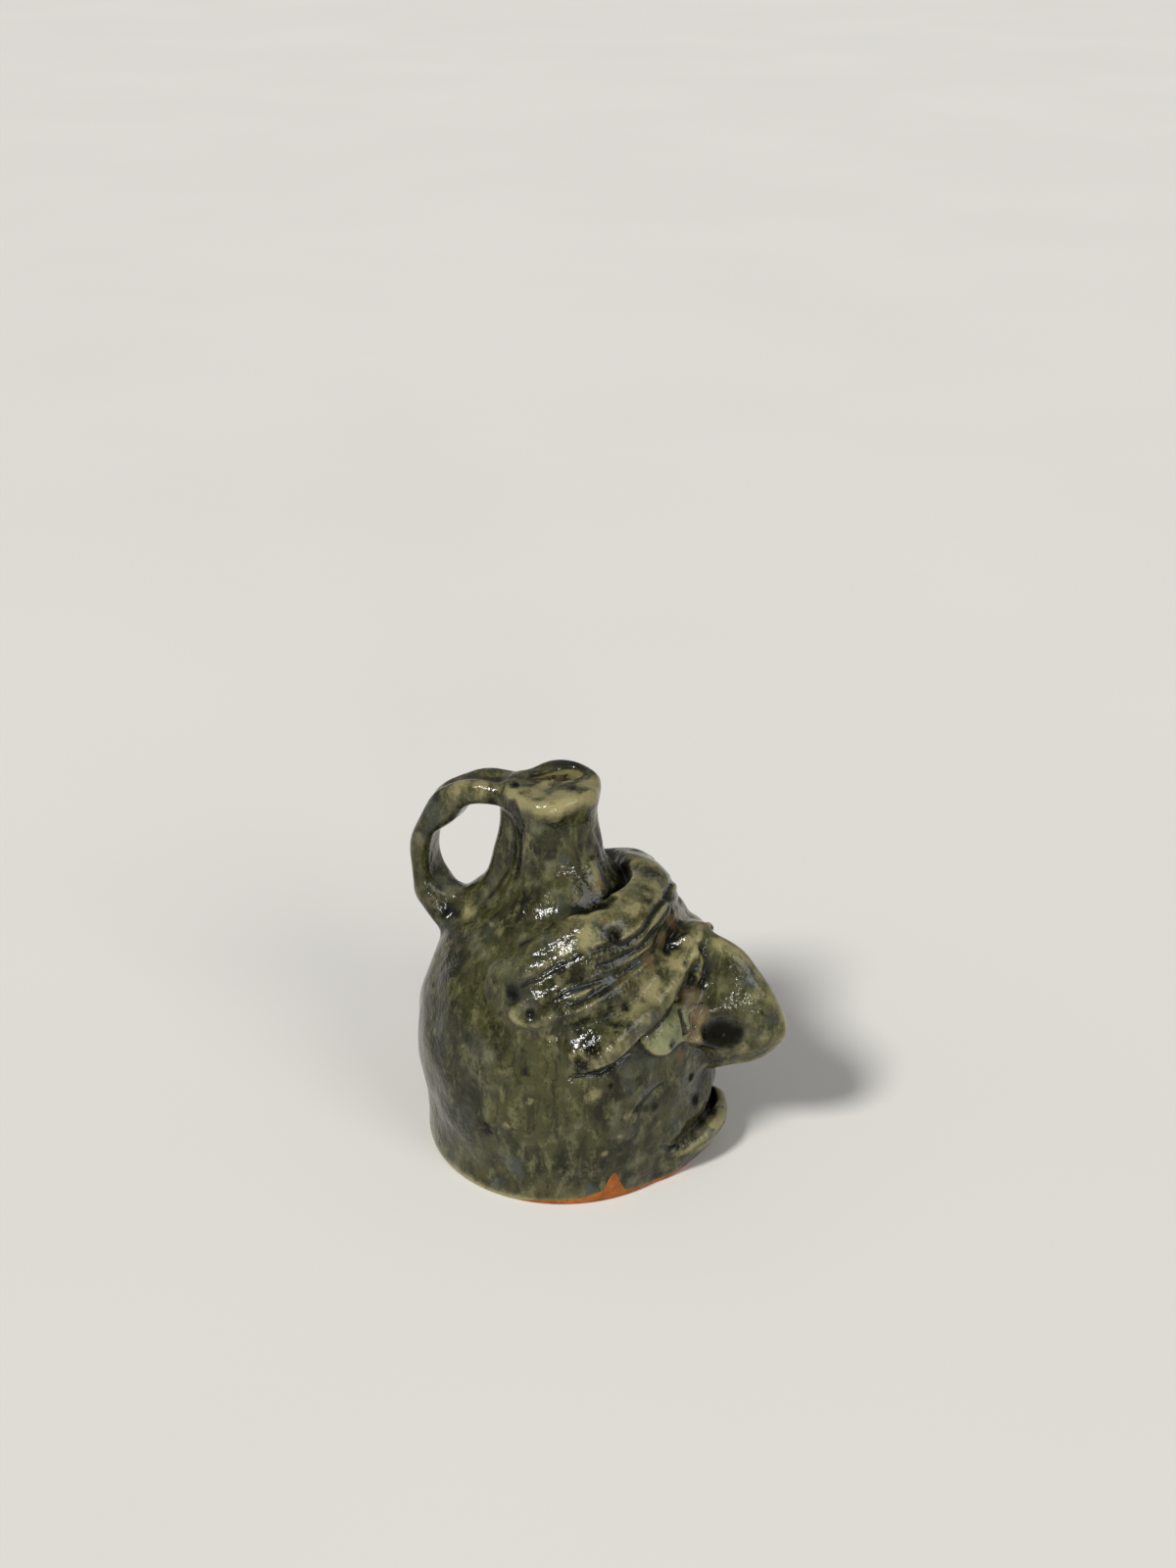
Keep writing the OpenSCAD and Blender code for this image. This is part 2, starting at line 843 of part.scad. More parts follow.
module mouth_trough() {
    drawn([
        for (i = [-lip_steps:lip_steps])
        let (
            v = i / lip_steps,
            full = max(trough_corner_share, swell(mix(0.5, 1, abs(v)), 2.2))
        )
        [for (s = trough_shares)
            meridian(
                pot_r(lip_top_z) + trough_w * full * s[0],
                lip_top_z + (s[1] == 0 ? over : -trough_d * full * s[1]),
                trough_az * v
            )]
    ]);
}

module lower_lip_solid() {
    difference() {
        lower_lip_form();
        pot_form(seat_gap);
        mouth_trough();
    }
}

module lower_lip() {
    color(lip_clay)
        lower_lip_solid();
}

module upper_lip() {
    color(glaze)
        difference() {
            drawn([
                for (i = [-lip_steps:lip_steps])
                let (
                    u = i / lip_steps,
                    z = lip_top_z + upper_h / 2 - upper_lap,
                    full = mix(upper_corner_share, 1, sqrt(1 - pow(u, 2)))
                )
                oval(
                    on_skin(upper_az * u, z, 0), up_skin(upper_az * u, z), off_skin(upper_az * u, z),
                    upper_h / 2 * full, upper_t * full
                )
            ]);
            pot_form(seat_gap);
            nose_form();
            lower_lip_solid();
        }
}

foot_slab();
pot_wall();
neck();
rim();
handle();
hair_wave();
side_lock_right();
side_lock_left();
brow_right();
brow_left();
eye_right();
eye_left();
nose();
upper_lip();
lower_lip();
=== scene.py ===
import bpy
import math
import numpy as np
from mathutils import Matrix, Vector


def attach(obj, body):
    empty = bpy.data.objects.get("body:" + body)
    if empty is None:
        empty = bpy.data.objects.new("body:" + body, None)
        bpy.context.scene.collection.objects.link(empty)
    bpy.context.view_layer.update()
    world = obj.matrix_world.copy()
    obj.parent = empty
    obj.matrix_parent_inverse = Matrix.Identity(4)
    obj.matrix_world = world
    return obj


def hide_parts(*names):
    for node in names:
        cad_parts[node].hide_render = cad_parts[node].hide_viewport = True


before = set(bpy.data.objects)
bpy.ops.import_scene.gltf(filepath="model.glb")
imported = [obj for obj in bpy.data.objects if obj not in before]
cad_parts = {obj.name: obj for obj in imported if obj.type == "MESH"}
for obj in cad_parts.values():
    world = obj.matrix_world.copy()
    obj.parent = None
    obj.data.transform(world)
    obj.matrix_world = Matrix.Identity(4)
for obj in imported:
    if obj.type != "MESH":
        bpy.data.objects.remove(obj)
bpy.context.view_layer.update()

# Sizes in millimetres, in the part's own frame

# The pot: belly, foot, the dome that it follows and where the neck sits on it; then its wall and floor
BELLY_R, BELLY_Z, FOOT_R, CROWN_Z, SEAT_Z, POWER = 41.8, 30.0, 39.5, 80.0, 74.0, 2.15
WALL, FLOOR, FOOT_ROUND = 4.5, 5.0, 0.7
# How much thicker the wall grows up to the shoulder, over what height, and where the hollow ends
WALL_GAIN, WALL_RISE, HOLLOW_TOP = 1.2, 66.0, 69.0
# The neck: its waist, its flared foot, its bore, its lowest place, and its lean; then the rolled rim
NECK_R, WAIST_Z, FLARE_R, BORE_R, NECK_LOW = 11.25, 98.0, 21.8, 5.5, 66.0
LEAN, LEAN_Z = math.radians(4), 66.0
TOP_Z, RIM_R, RIM_H = 110.0, 12.8, 7.0
RIM_Z = TOP_Z - RIM_H
# The mouth is pinched to a slit: half its length and width, and how far it lies to the far side
SLIT_LONG, SLIT_SHORT, SLIT_SHIFT = 7.4, 3.2, 4.0
# The handle: reach, highest and lowest place, half the strap's width and thickness, its channel
REACH, HIGH, LOW, STRAP_W, STRAP_T = 41.0, 106.0, 60.0, 6.5, 3.0
CHANNEL_D, CHANNEL_W = 1.5, 2.6
# The strap is thicker at the loop's upper corner: by how much, and where along it
CORNER_T, CORNER_AT, CORNER_LONG = 2.1, 0.36, 0.09
# The smear's half width and thickness on the neck, and how far it sags on the shoulder
SMEAR_W, SMEAR_T, SMEAR_SAG = 4.5, 4.1, 4.89
# The place that the nose's ridge goes round
NOSE_X, NOSE_Z = 36.0, 48.0
# The lower lip: the depth of its root, its lowest place, height and reach, and half its length in degrees
LIP_ROOT, LIP_LOW, LIP_TALL, LIP_REACH, LIP_AZ = 9.0, 1.5, 11.5, 7.5, 28
# The side of the jug that faces the camera
VIEW_AZ = math.radians(-71)

# The box that each piece's form is worked out in
BOXES = {
    "pot_wall": ((-46, -46, -3), (46, 46, 80)),
    "neck": ((-36, -30, 62), (30, 30, 112)),
    "rim": ((-26, -22, 94), (22, 22, 116)),
    "handle": ((-48, -14, 52), (0, 14, 114)),
    "hair_wave": ((-20, -44, 50), (44, 44, 92)),
    "half_wave": ((-20, -44, 50), (44, 3, 92)),
    "side_lock": ((-20, -46, 40), (46, 4, 78)),
    "brow": ((-2, -46, 34), (50, 12, 80)),
    "eye": ((20, -36, 38), (50, 0, 60)),
    "nose": ((22, -20, 22), (70, 20, 76)),
    "lower_lip": ((16, -34, -1), (54, 34, 20)),
    "upper_lip": ((28, -24, 8), (50, 24, 28)),
    "filling": ((22, -30, 36), (54, 2, 70)),
}
WHOLE = ((-99, -99, -99), (99, 99, 199))

# Camera, from the photograph's frame of 1200 by 1600

F_PX, FRAME_W, FRAME_H, SENSOR = 1944.0, 1200, 1600, 36
CAM = np.array([147.2, -431.6, 341.0])
TURN, PITCH = math.radians(18), math.radians(26.9)
LOOK = np.array([-math.sin(TURN) * math.cos(PITCH), math.cos(TURN) * math.cos(PITCH), -math.sin(PITCH)])
RIGHT = np.array([math.cos(TURN), math.sin(TURN), 0.0])
UP = np.cross(RIGHT, LOOK)

# Small helpers


def added(name, data):
    obj = bpy.data.objects.new(name, data)
    bpy.context.scene.collection.objects.link(obj)
    return obj


def smin(a, b, k):
    return np.minimum(a, b) - np.maximum(k - np.abs(a - b), 0) ** 2 / (4 * k)


def smax(a, b, k):
    return -smin(-a, -b, k)


def mix(a, b, u):
    return a + (b - a) * u


def dot(a, b):
    return sum(p * q for p, q in zip(a, b))


def share(x):
    return np.clip(x, 0, 1)


def unit(v):
    v = np.asarray(v, float)
    return v / np.linalg.norm(v)


def swell(u, power=2.0):
    """0 at both ends and 1 in the middle, as round as power says."""
    return max(0.0, 1 - abs(2 * u - 1) ** power) ** (1 / power)


def bell(x, centre, width):
    return np.exp(-(((x - centre) / width) ** 2))


def ellipsoid(places, sizes):
    """About the distance to an ellipsoid, from the places along its own axes."""
    k0 = np.sqrt(sum((a / s) ** 2 for a, s in zip(places, sizes))) + 1e-5
    k1 = np.sqrt(sum((a / s**2) ** 2 for a, s in zip(places, sizes))) + 1e-5
    return k0 * (k0 - 1) / k1


# The grid of distances: its step, and the distance beyond which nothing is worked out

STEP, FAR = 0.45, 9.0
NX, NY, NZ = 256, 197, 252
ORIGIN = np.array([-47.0, -STEP * (NY - 1) / 2, -1.4])
AX = [ORIGIN[i] + STEP * np.arange(n) for i, n in enumerate((NX, NY, NZ))]
MID = (NY - 1) // 2


def span(lo, hi):
    """Slices of the grid that cover a box."""
    a = np.maximum(0, np.floor((lo - ORIGIN) / STEP)).astype(int)
    b = np.minimum((NX, NY, NZ), np.ceil((hi - ORIGIN) / STEP) + 1).astype(int)
    return tuple(slice(i, max(j, i + 1)) for i, j in zip(a, b))


def axes(sl):
    """The places along each axis, shaped so that they spread over the box."""
    shapes = ((-1, 1, 1), (1, -1, 1), (1, 1, -1))
    return tuple(AX[i][sl[i]].astype(np.float32).reshape(shape) for i, shape in enumerate(shapes))


class Form:
    """Distances to one piece over its own part of the grid."""

    def __init__(self, lo, hi):
        self.sl = span(lo, hi)
        self.d = np.full([s.stop - s.start for s in self.sl], FAR, np.float32)

    def add(self, fn, box=WHOLE, join=None):
        g = span(*box)
        own = tuple(slice(max(a.start, b.start), min(a.stop, b.stop)) for a, b in zip(g, self.sl))
        if any(s.stop <= s.start for s in own):
            return
        here = tuple(slice(s.start - b.start, s.stop - b.start) for s, b in zip(own, self.sl))
        v = fn(*axes(own)).astype(np.float32)
        self.d[here] = np.minimum(self.d[here], v) if join is None else smin(self.d[here], v, join)

    def mirrored(self):
        m = Form.__new__(Form)
        s = self.sl[1]
        m.sl = (self.sl[0], slice(NY - s.stop, NY - s.start), self.sl[2])
        m.d = self.d[:, ::-1, :].copy()
        return m


def roll(form, pts, nrm, wide, high, strap=False, pad=5.0, join=None):
    """Clay drawn along a row of points: an oval, or a flat strap with round edges and a channel."""
    for i in range(len(pts) - 1):
        a, b = np.asarray(pts[i], float), np.asarray(pts[i + 1], float)
        length = np.linalg.norm(b - a)
        if length < 1e-6:
            continue
        along = (b - a) / length
        n = np.asarray(nrm[i]) + np.asarray(nrm[i + 1])
        n = unit(n - along * np.dot(n, along))
        side = np.cross(along, n)
        reach = max(wide[i], wide[i + 1], high[i], high[i + 1]) + pad

        def fn(x, y, z):
            v = [c - p for c, p in zip((x, y, z), a)]
            t = share(dot(v, along) / length)
            w, h = mix(wide[i], wide[i + 1], t), mix(high[i], high[i + 1], t)
            v = [c - d * length * t for c, d in zip(v, along)]
            p, q, e = (dot(v, axis) for axis in (side, n, along))
            if not strap:
                return ellipsoid((p, q, e), (w, h, h))
            edge_r = 0.92 * h
            top = h - CHANNEL_D * bell(p, 0, CHANNEL_W) * (q > 0)
            dx, dy = np.abs(p) - (w - edge_r), np.abs(q) - (top - edge_r)
            d = np.hypot(np.maximum(dx, 0), np.maximum(dy, 0)) + np.minimum(np.maximum(dx, dy), 0) - edge_r
            return np.hypot(np.maximum(d, 0), e) + np.minimum(d, 0)

        form.add(fn, (np.minimum(a, b) - reach, np.maximum(a, b) + reach), join)


def rolled(name, us, place, **how):
    """A form rolled along the places that a function gives: point, outer side, half width and thickness."""
    f = Form(*BOXES[name])
    roll(f, *zip(*(place(u) for u in us)), **how)
    return f


# The pot's skin


def pot_r(z):
    z = np.asarray(z, float)
    low = BELLY_R - (BELLY_R - FOOT_R) * ((BELLY_Z - z) / BELLY_Z) ** 2
    u = share((z - BELLY_Z) / (CROWN_Z - BELLY_Z))
    return np.where(z < BELLY_Z, low, BELLY_R * (1 - u**POWER) ** (1 / POWER))


def dome_z(r):
    return BELLY_Z + (CROWN_Z - BELLY_Z) * (1 - (r / BELLY_R) ** POWER) ** (1 / POWER)


def skin_out(z):
    e = 0.05
    return unit([1, -(float(pot_r(z + e)) - float(pot_r(z - e))) / (2 * e)])


def on_skin(az, z, out=0.0):
    a, n = math.radians(az), skin_out(z)
    r = float(pot_r(z)) + out * n[0]
    return np.array([r * math.cos(a), r * math.sin(a), z + out * n[1]])


def off_skin(az, z):
    a, n = math.radians(az), skin_out(z)
    return np.array([n[0] * math.cos(a), n[0] * math.sin(a), n[1]])


# Outlines in the plane of radius and height, as tables of distance

BEYOND = -60
T_STEP = 0.25
T_R = np.arange(-4, 56, T_STEP)
T_Z = np.arange(-8, 122, T_STEP)


def outline_table(poly):
    """Signed distance to a closed outline, negative inside."""
    p = np.asarray(poly, float)
    q = np.roll(p, -1, 0)
    R, Z = np.meshgrid(T_R, T_Z, indexing="ij")
    best = np.full(R.shape, 1e9)
    inside = np.zeros(R.shape, bool)
    for a, b in zip(p, q):
        e = b - a
        t = share(((R - a[0]) * e[0] + (Z - a[1]) * e[1]) / max(e @ e, 1e-12))
        best = np.minimum(best, (R - a[0] - e[0] * t) ** 2 + (Z - a[1] - e[1] * t) ** 2)
        if a[1] != b[1]:
            cross = (a[1] > Z) != (b[1] > Z)
            inside ^= cross & (R < a[0] + e[0] * (Z - a[1]) / e[1])
    return (np.sqrt(best) * np.where(inside, -1, 1)).astype(np.float32)


def table_at(table, r, z):
    fr = np.clip((r - T_R[0]) / T_STEP, 0, len(T_R) - 1.001)
    fz = np.clip((z - T_Z[0]) / T_STEP, 0, len(T_Z) - 1.001)
    i, j = fr.astype(np.int32), fz.astype(np.int32)
    u, v = fr - i, fz - j
    low = table[i, j] * (1 - u) + table[i + 1, j] * u
    return low * (1 - v) + (table[i, j + 1] * (1 - u) + table[i + 1, j + 1] * u) * v


def lean_back(x, z):
    """A point of the leaning neck in the neck's own upright frame."""
    c, s = math.cos(LEAN), math.sin(LEAN)
    h = z - LEAN_Z
    return x * c + h * s, LEAN_Z - x * s + h * c


def lean_out(p):
    """A point of the neck's upright frame where the leaning neck has it."""
    c, s = math.cos(LEAN), math.sin(LEAN)
    h = p[2] - LEAN_Z
    return np.array([p[0] * c - h * s, p[1], LEAN_Z + p[0] * s + h * c])


def cubic(p, t):
    weights = ((1 - t) ** 3, 3 * (1 - t) ** 2 * t, 3 * (1 - t) * t**2, t**3)
    return sum(np.asarray(q, float) * w for q, w in zip(p, weights))


NECK_CURVE = [(NECK_R, WAIST_Z), (NECK_R, mix(SEAT_Z, WAIST_Z, 0.58)),
              (mix(NECK_R, FLARE_R, 0.53), mix(SEAT_Z, WAIST_Z, 0.18)), (FLARE_R, SEAT_Z)]
# From the waist out to the rolled rim
FLARE = [(NECK_R, WAIST_Z), (NECK_R + 0.15, 100.5), (NECK_R + 0.55, 102.6),
         (NECK_R + 1.05, 104.4), (RIM_R - 0.1, 106.2), (RIM_R, 107.4),
         (RIM_R - 0.25, 108.6), (RIM_R - 0.9, 109.5), (RIM_R - 2.0, TOP_Z)]


def pot_outline():
    quarter = np.radians(np.arange(0, 91, 15))
    foot = [(FOOT_R - FOOT_ROUND * (1 - math.sin(t)), FOOT_ROUND * (1 - math.cos(t))) for t in quarter]
    heights = SEAT_Z * np.sin(np.radians(np.linspace(0, 90, 60)))
    side = [(float(pot_r(z)), z) for z in heights if z > FOOT_ROUND + 0.2]
    return [(BEYOND, 0)] + foot + side + [(BEYOND, SEAT_Z)]


def hollow_outline():
    side = []
    for z in np.linspace(FLOOR, HOLLOW_TOP, 40):
        wall = WALL * (1 + WALL_GAIN * ((z - FLOOR) / WALL_RISE) ** 6)
        side.append((max(float(pot_r(z)) - wall, 2.0), z))
    return [(BEYOND, FLOOR)] + side + [(BEYOND, HOLLOW_TOP + 0.5)]


def neck_outline():
    top = [p for p in FLARE[::-1] if p[1] < TOP_Z - 2]
    side = [tuple(cubic(NECK_CURVE, t)) for t in np.linspace(0, 1, 24)][1:]
    return [(BEYOND, TOP_Z - 2)] + top + side + [(FLARE_R + 1, NECK_LOW), (BEYOND, NECK_LOW)]


def rim_outline():
    return [(BEYOND, RIM_Z - 1.5)] + [p for p in FLARE if p[1] > RIM_Z - 2] + [(BEYOND, TOP_Z)]


POT, CAVITY = outline_table(pot_outline()), outline_table(hollow_outline())
NECK, RIM = outline_table(neck_outline()), outline_table(rim_outline())

# Pot, neck and rim


def pot_fn(x, y, z):
    """The thrown wall, pushed in low at the left, out under the face and at the near foot."""
    az = np.arctan2(y, x)
    r = np.hypot(x, y) + 1.4 * bell(z, 14, 9) * share(np.cos(az + math.radians(150))) ** 2
    r = r - 0.7 * bell(z, 18, 14) * bell(np.degrees(az), 0, 24)
    r = r - 1.0 * bell(z, 0, 5) * bell(np.degrees(az), -95, 60)
    return table_at(POT, r, z + 0 * x)


def collar(x, y, z):
    """Radius and height in the neck's own frame, with the waviness of a hand-drawn neck taken out."""
    u, w = lean_back(x, z)
    az = np.arctan2(y, u)
    r = np.hypot(u, y) - 0.3 * np.sin(2 * az - 0.6) * share((w - 80) / 20)
    r = r - 0.35 * np.sin(3 * az + w / 9) * share((100 - w) / 20)
    lift = 0.35 - 0.6 * np.cos(az - VIEW_AZ) - 0.25 * np.sin(3 * az)
    return r, w - lift * share((w - 103) / 6)


def turned_form(name, fn):
    f = Form(*BOXES[name])
    f.add(fn)
    return f


# Handle: a strap along a smooth line, and its clay smeared down the neck and along the shoulder

STRAP_SHARES = [(0.24, 0.97), (0.41, 1), (0.63, 0.985), (0.83, 0.9), (0.965, 0.73),
                (1, 0.53), (0.975, 0.33), (0.9, 0.17), (0.78, 0.06), (0.66, 0)]
STRAP = np.array([(-REACH * s[0], 0, mix(LOW, HIGH, s[1])) for s in STRAP_SHARES])
# Where the smear turns from the neck to the shoulder, how far down the flare, and its end on the strap
SMEAR_TURN, SMEAR_DOWN, SMEAR_END = 0.62, 0.86, 0.72


def strap_at(u):
    """A point of the smooth curve through the strap's places."""
    last = len(STRAP) - 1
    s = min(u * last, last - 1e-4)
    i = int(s)
    t = s - i
    a, b, c, d = STRAP[max(i - 1, 0)], STRAP[i], STRAP[i + 1], STRAP[min(i + 2, last)]
    return (2 * b + (c - a) * t + (2 * a - 5 * b + 4 * c - d) * t**2 + (3 * b - a - 3 * c + d) * t**3) / 2


def smear_at(u):
    if u < SMEAR_TURN:
        v = u / SMEAR_TURN
        p = cubic(NECK_CURVE, v * SMEAR_DOWN)
        return lean_out(np.array([-p[0], 0, mix(p[1], HIGH, (1 - v) ** 3)]))
    v = (u - SMEAR_TURN) / (1 - SMEAR_TURN)
    p = cubic(NECK_CURVE, SMEAR_DOWN)
    a, b = lean_out(np.array([-p[0], 0, p[1]])), strap_at(SMEAR_END)
    return mix(a, b, v) - np.array([0, 0, SMEAR_SAG * math.sin(math.pi * v)])


def outer_side(line, u, e):
    """Away from the finger loop, at a place on a line in the middle plane."""
    return np.cross((0, 1, 0), unit(line(min(1, u + e)) - line(max(0, u - e))))


def smear_place(u):
    return smear_at(u), outer_side(smear_at, u, 0.02), SMEAR_W * mix(1, 1.4, u), SMEAR_T * mix(1, 1.15, u)


def strap_place(u):
    back = outer_side(strap_at, u, 0.01)
    thicker = CORNER_T * math.exp(-(((u - CORNER_AT) / CORNER_LONG) ** 2))
    wide = STRAP_W * (1 + 0.14 * abs(2 * u - 1) ** 3) + 0.25 * math.sin(9 * u)
    return strap_at(u) - back * thicker, back, wide, STRAP_T + 0.2 * math.sin(7 * u + 1) + thicker


def handle_form():
    f = rolled("handle", np.linspace(0, 1, 90), strap_place, strap=True)
    smear = rolled("handle", np.linspace(0, 1, 30), smear_place)
    f.d = smin(f.d, smear.d, 2.6)
    return f


# Hair: five strands side by side, from the front of the neck back to the tails

# Shares of the belly's radius in front and at the tails, each strand's height, and how softly they join
FRONT = (0.43, 0.51, 0.59, 0.64, 0.67)
TAIL = (0.73, 0.745, 0.765, 0.785, 0.8)
RISE = (0.8, 0.94, 0.82, 0.5, 0.12)
STRAND_SOFT = (0, 5.0, 4.5, 3.0, 2.6)
WAVE_AZ, WAVE_H, WAVE_GIRTH = 100, 8.0, 2.6


def wave_at(k, u):
    """A place on a strand, u running from -1 at the near tail over 0 in front."""
    v = k / 4
    r = BELLY_R * mix(FRONT[k], TAIL[k], abs(u) ** (5 - 2 * v))
    out = WAVE_H * RISE[k] * (1 - abs(u) ** 2.2) - 1.3 * max(0, abs(u) - 0.55) / 0.45
    return on_skin(WAVE_AZ * u, dome_z(r), out)


def under_wave(k, u):
    """Halfway between a strand and the skin under it."""
    p = wave_at(k, u)
    return mix(p, on_skin(WAVE_AZ * u, dome_z(0.95 * math.hypot(p[0], p[1])), -1), 0.5)


def hair_form():
    us = np.linspace(-1, 0, 30)
    girth = [WAVE_GIRTH * (0.3 + 0.7 * swell(mix(0.5, 1, abs(u)), 2.4)) for u in us]
    half = None
    for k, soft in enumerate(STRAND_SOFT):
        g = Form(*BOXES["half_wave"])
        line = [wave_at(k, u) for u in us]
        nrm = [off_skin(WAVE_AZ * u, dome_z(0.94 * math.hypot(p[0], p[1]))) for u, p in zip(us, line)]
        roll(g, line, nrm, girth, girth)
        if half is None:
            half = g
        else:
            half.d = smin(half.d, g.d, soft)
    core = Form(*BOXES["half_wave"])
    for k in range(len(STRAND_SOFT)):
        line = [under_wave(k, u) for u in us]
        nrm = [off_skin(WAVE_AZ * u, p[2] if p[2] < 73 else 73) for u, p in zip(us, line)]
        roll(core, line, nrm, [g * 1.1 for g in girth], [max(1.2, g * 1.3) for g in girth])
    half.d = smin(half.d, core.d, 2.5)
    f = Form(*BOXES["hair_wave"])
    keep = MID - half.sl[1].start + 1
    f.d[:, :keep, :] = half.d[:, :keep, :]
    f.d[:, -keep:, :] = half.d[:, :keep, :][:, ::-1, :]
    return f


LOCK_STRANDS, LOCK_AZ, LOCK_R, LOCK_W, LOCK_H = 4, (14, 94), (0.69, 0.845), 8.25, 2.6


def lock_form():
    f = Form(*BOXES["side_lock"])
    for k in range(LOCK_STRANDS):
        side = (k + 0.5) / LOCK_STRANDS - 0.5

        def place(u):
            az, z = -mix(*LOCK_AZ, u), float(dome_z(BELLY_R * mix(*LOCK_R, u)))
            out = off_skin(az, z)
            around = np.array([-math.sin(math.radians(az)), math.cos(math.radians(az)), 0])
            up = np.cross(out, around)
            up = up if up[2] > 0 else -up
            w = LOCK_W * mix(0.25, 1, swell(u, 2))
            h = LOCK_H * (1 - 1.4 * side**2) * mix(0.35, 1, swell(u, 3))
            return on_skin(az, z, -1.0 * abs(2 * u - 1) ** 2) - up * side * w, out, w * 0.2, h * 1.1

        us = np.linspace(0.012 * (k + 1), 1 - 0.012 * (k + 1), 26)
        roll(f, *zip(*(place(u) for u in us)), join=3.0, pad=7)
    return f


# Brows and eyes

BROW_ENDS, BROW_HEIGHTS, BROW_W, BROW_H, BROW_PEAK = (5, 67), (64.5, 47.0), 4.9, 4.0, 7.0


def brow_line(u):
    return mix(*BROW_ENDS, u), mix(*BROW_HEIGHTS, u**1.15)


def brow_place(u):
    az, z = brow_line(u)
    full = mix(0.2, 1, swell(mix(0.1, 1, u), 2.3)) * (1 + 0.03 * math.sin(17 * u))
    wide, high = BROW_W * full * mix(0.84, 1.06, u), BROW_H * full + BROW_PEAK * (1 - u) ** 5
    return on_skin(-az, z, 1.0 - 1.2 * max(0, u - 0.7)), off_skin(-az, z), wide, high


# The almond pad: angle, height of its middle and half its height
EYE_AZ = (-40, -37, -34, -30.5, -26, -22.5, -19, -16)
EYE_Z = (50.5, 50.0, 49.8, 49.5, 50.0, 50.4, 50.2, 50.0)
EYE_HALF = (0.8, 3.8, 5.3, 6.2, 6.3, 6.0, 4.6, 1.6)
EYE_H = 3.1


def eye_place(az):
    u, z = (az - EYE_AZ[0]) / (EYE_AZ[-1] - EYE_AZ[0]), np.interp(az, EYE_AZ, EYE_Z)
    wide, high = np.interp(az, EYE_AZ, EYE_HALF), EYE_H * mix(0.3, 1, math.sin(math.pi * u) ** 0.7)
    return on_skin(az, z, 0.3), off_skin(az, z), wide, high


# Nose: a hooked ridge round one place in the middle plane, with a hollow behind each wing

RIDGE_R, HOOK_R, HOOK_AT, NOSE_THIN, NOSE_WIDE = 23, 6, -17, 9.0, 29.0
NOSE_TOP, NOSE_UNDER = 106, -74
HOLLOW_AT, HOLLOW_SIZE, HOLLOW_YAW, HOLLOW_PITCH = (49.8, 9.26, 45.1), (7.0, 3.3, 4.4), 18, 20


def nose_fn(x, y, z):
    ang = np.degrees(np.arctan2(z - NOSE_Z, x - NOSE_X))
    rho = np.hypot(x - NOSE_X, z - NOSE_Z)
    ridge = RIDGE_R + HOOK_R * bell(ang, HOOK_AT, 30)
    u = share((75 - ang) / 149)
    v = share((NOSE_TOP - ang) / (NOSE_TOP - NOSE_UNDER))
    w = mix(NOSE_THIN, NOSE_WIDE, np.sin(np.radians(np.minimum(90, 115 * u))) ** 0.8) / 2
    w = w * (1 - 0.08 * u**5) * (1 - 0.22 * (1 - v) ** 3)
    low = share((-ang - 20) / 45)
    ridge = ridge - 2.2 * np.sin(math.pi * share((-ang - 12) / 60))
    edge_r = np.minimum(4.0, w)
    out = share((rho / ridge - mix(0.3, 0.12, low)) / mix(0.62, 0.74, low))
    half_w = mix(w, edge_r, out)
    lean = (w - edge_r) / (ridge * 0.6)
    dish = 0.9 * bell(rho / ridge, 0.62, 0.22) * share(w / 9 - 0.4)
    flat = (np.abs(y) - half_w + dish) / np.sqrt(1 + lean**2)
    d = smax(flat, rho - ridge, 4.5)
    ends = np.maximum(ang - NOSE_TOP, NOSE_UNDER - ang)
    d = smax(d, rho * np.sin(np.radians(np.clip(ends, -90, 90))), 2.5)
    return np.where((ang > 130) | (ang < -100), FAR, np.minimum(d, FAR))


def nose_form():
    f = Form(*BOXES["nose"])
    f.add(nose_fn)
    grid = axes(f.sl)
    for sign in (1, -1):
        yaw = Matrix.Rotation(math.radians(-sign * HOLLOW_YAW), 3, "Z")
        own_axes = np.array((yaw @ Matrix.Rotation(math.radians(HOLLOW_PITCH), 3, "Y")).transposed())
        v = [c - p for c, p in zip(grid, HOLLOW_AT * np.array((1, sign, 1)))]
        f.d = smax(f.d, -ellipsoid([dot(a, v) for a in own_axes], HOLLOW_SIZE), 4.2).astype(np.float32)
    return f


# Lips: the lower one a shelf with the mouth as a trough behind it, the upper one a low roll

LIP_HEIGHTS, LIP_PROFILE = (0, 0.3, 0.62, 0.86, 1), (0.52, 0.78, 1, 0.98, 0.84)
UPPER_Z, UPPER_AZ, UPPER_W, UPPER_H = 16.8, 25, 5.4, 1.5


def lip_fn(x, y, z):
    az = np.degrees(np.arctan2(y, x)) / LIP_AZ
    r = np.hypot(x, y)
    a = np.minimum(np.abs(az), 1)
    reach = LIP_REACH * mix(0.0, 1, (1 - a**2) ** 1.1)
    top = LIP_LOW + LIP_TALL * mix(1, 0.42, a**2.4)
    h = share((z - LIP_LOW) / (top - LIP_LOW))
    base = pot_r(np.clip(z, 0, 30))
    out = r - base - reach * np.interp(h, LIP_HEIGHTS, LIP_PROFILE)
    d = smax(out, np.maximum(z - top, LIP_LOW - 0.2 - z), 1.6)
    d = smax(d, (np.abs(az) - 1) * 20, 3.0)
    d = np.maximum(d, base - LIP_ROOT - r)
    open_near = share((az + 0.3) / 0.3)
    full = share(1 - (np.abs(az - 0.12) / 0.74) ** 2.2) ** 0.45 * mix(0.1, 1, open_near)
    trough = smax(r - base - 3.0 * full, top - 6.0 * full - z, 1.4)
    trough = np.where(full > 0.02, trough, FAR)
    return np.minimum(smax(d, -trough, 0.9), FAR)


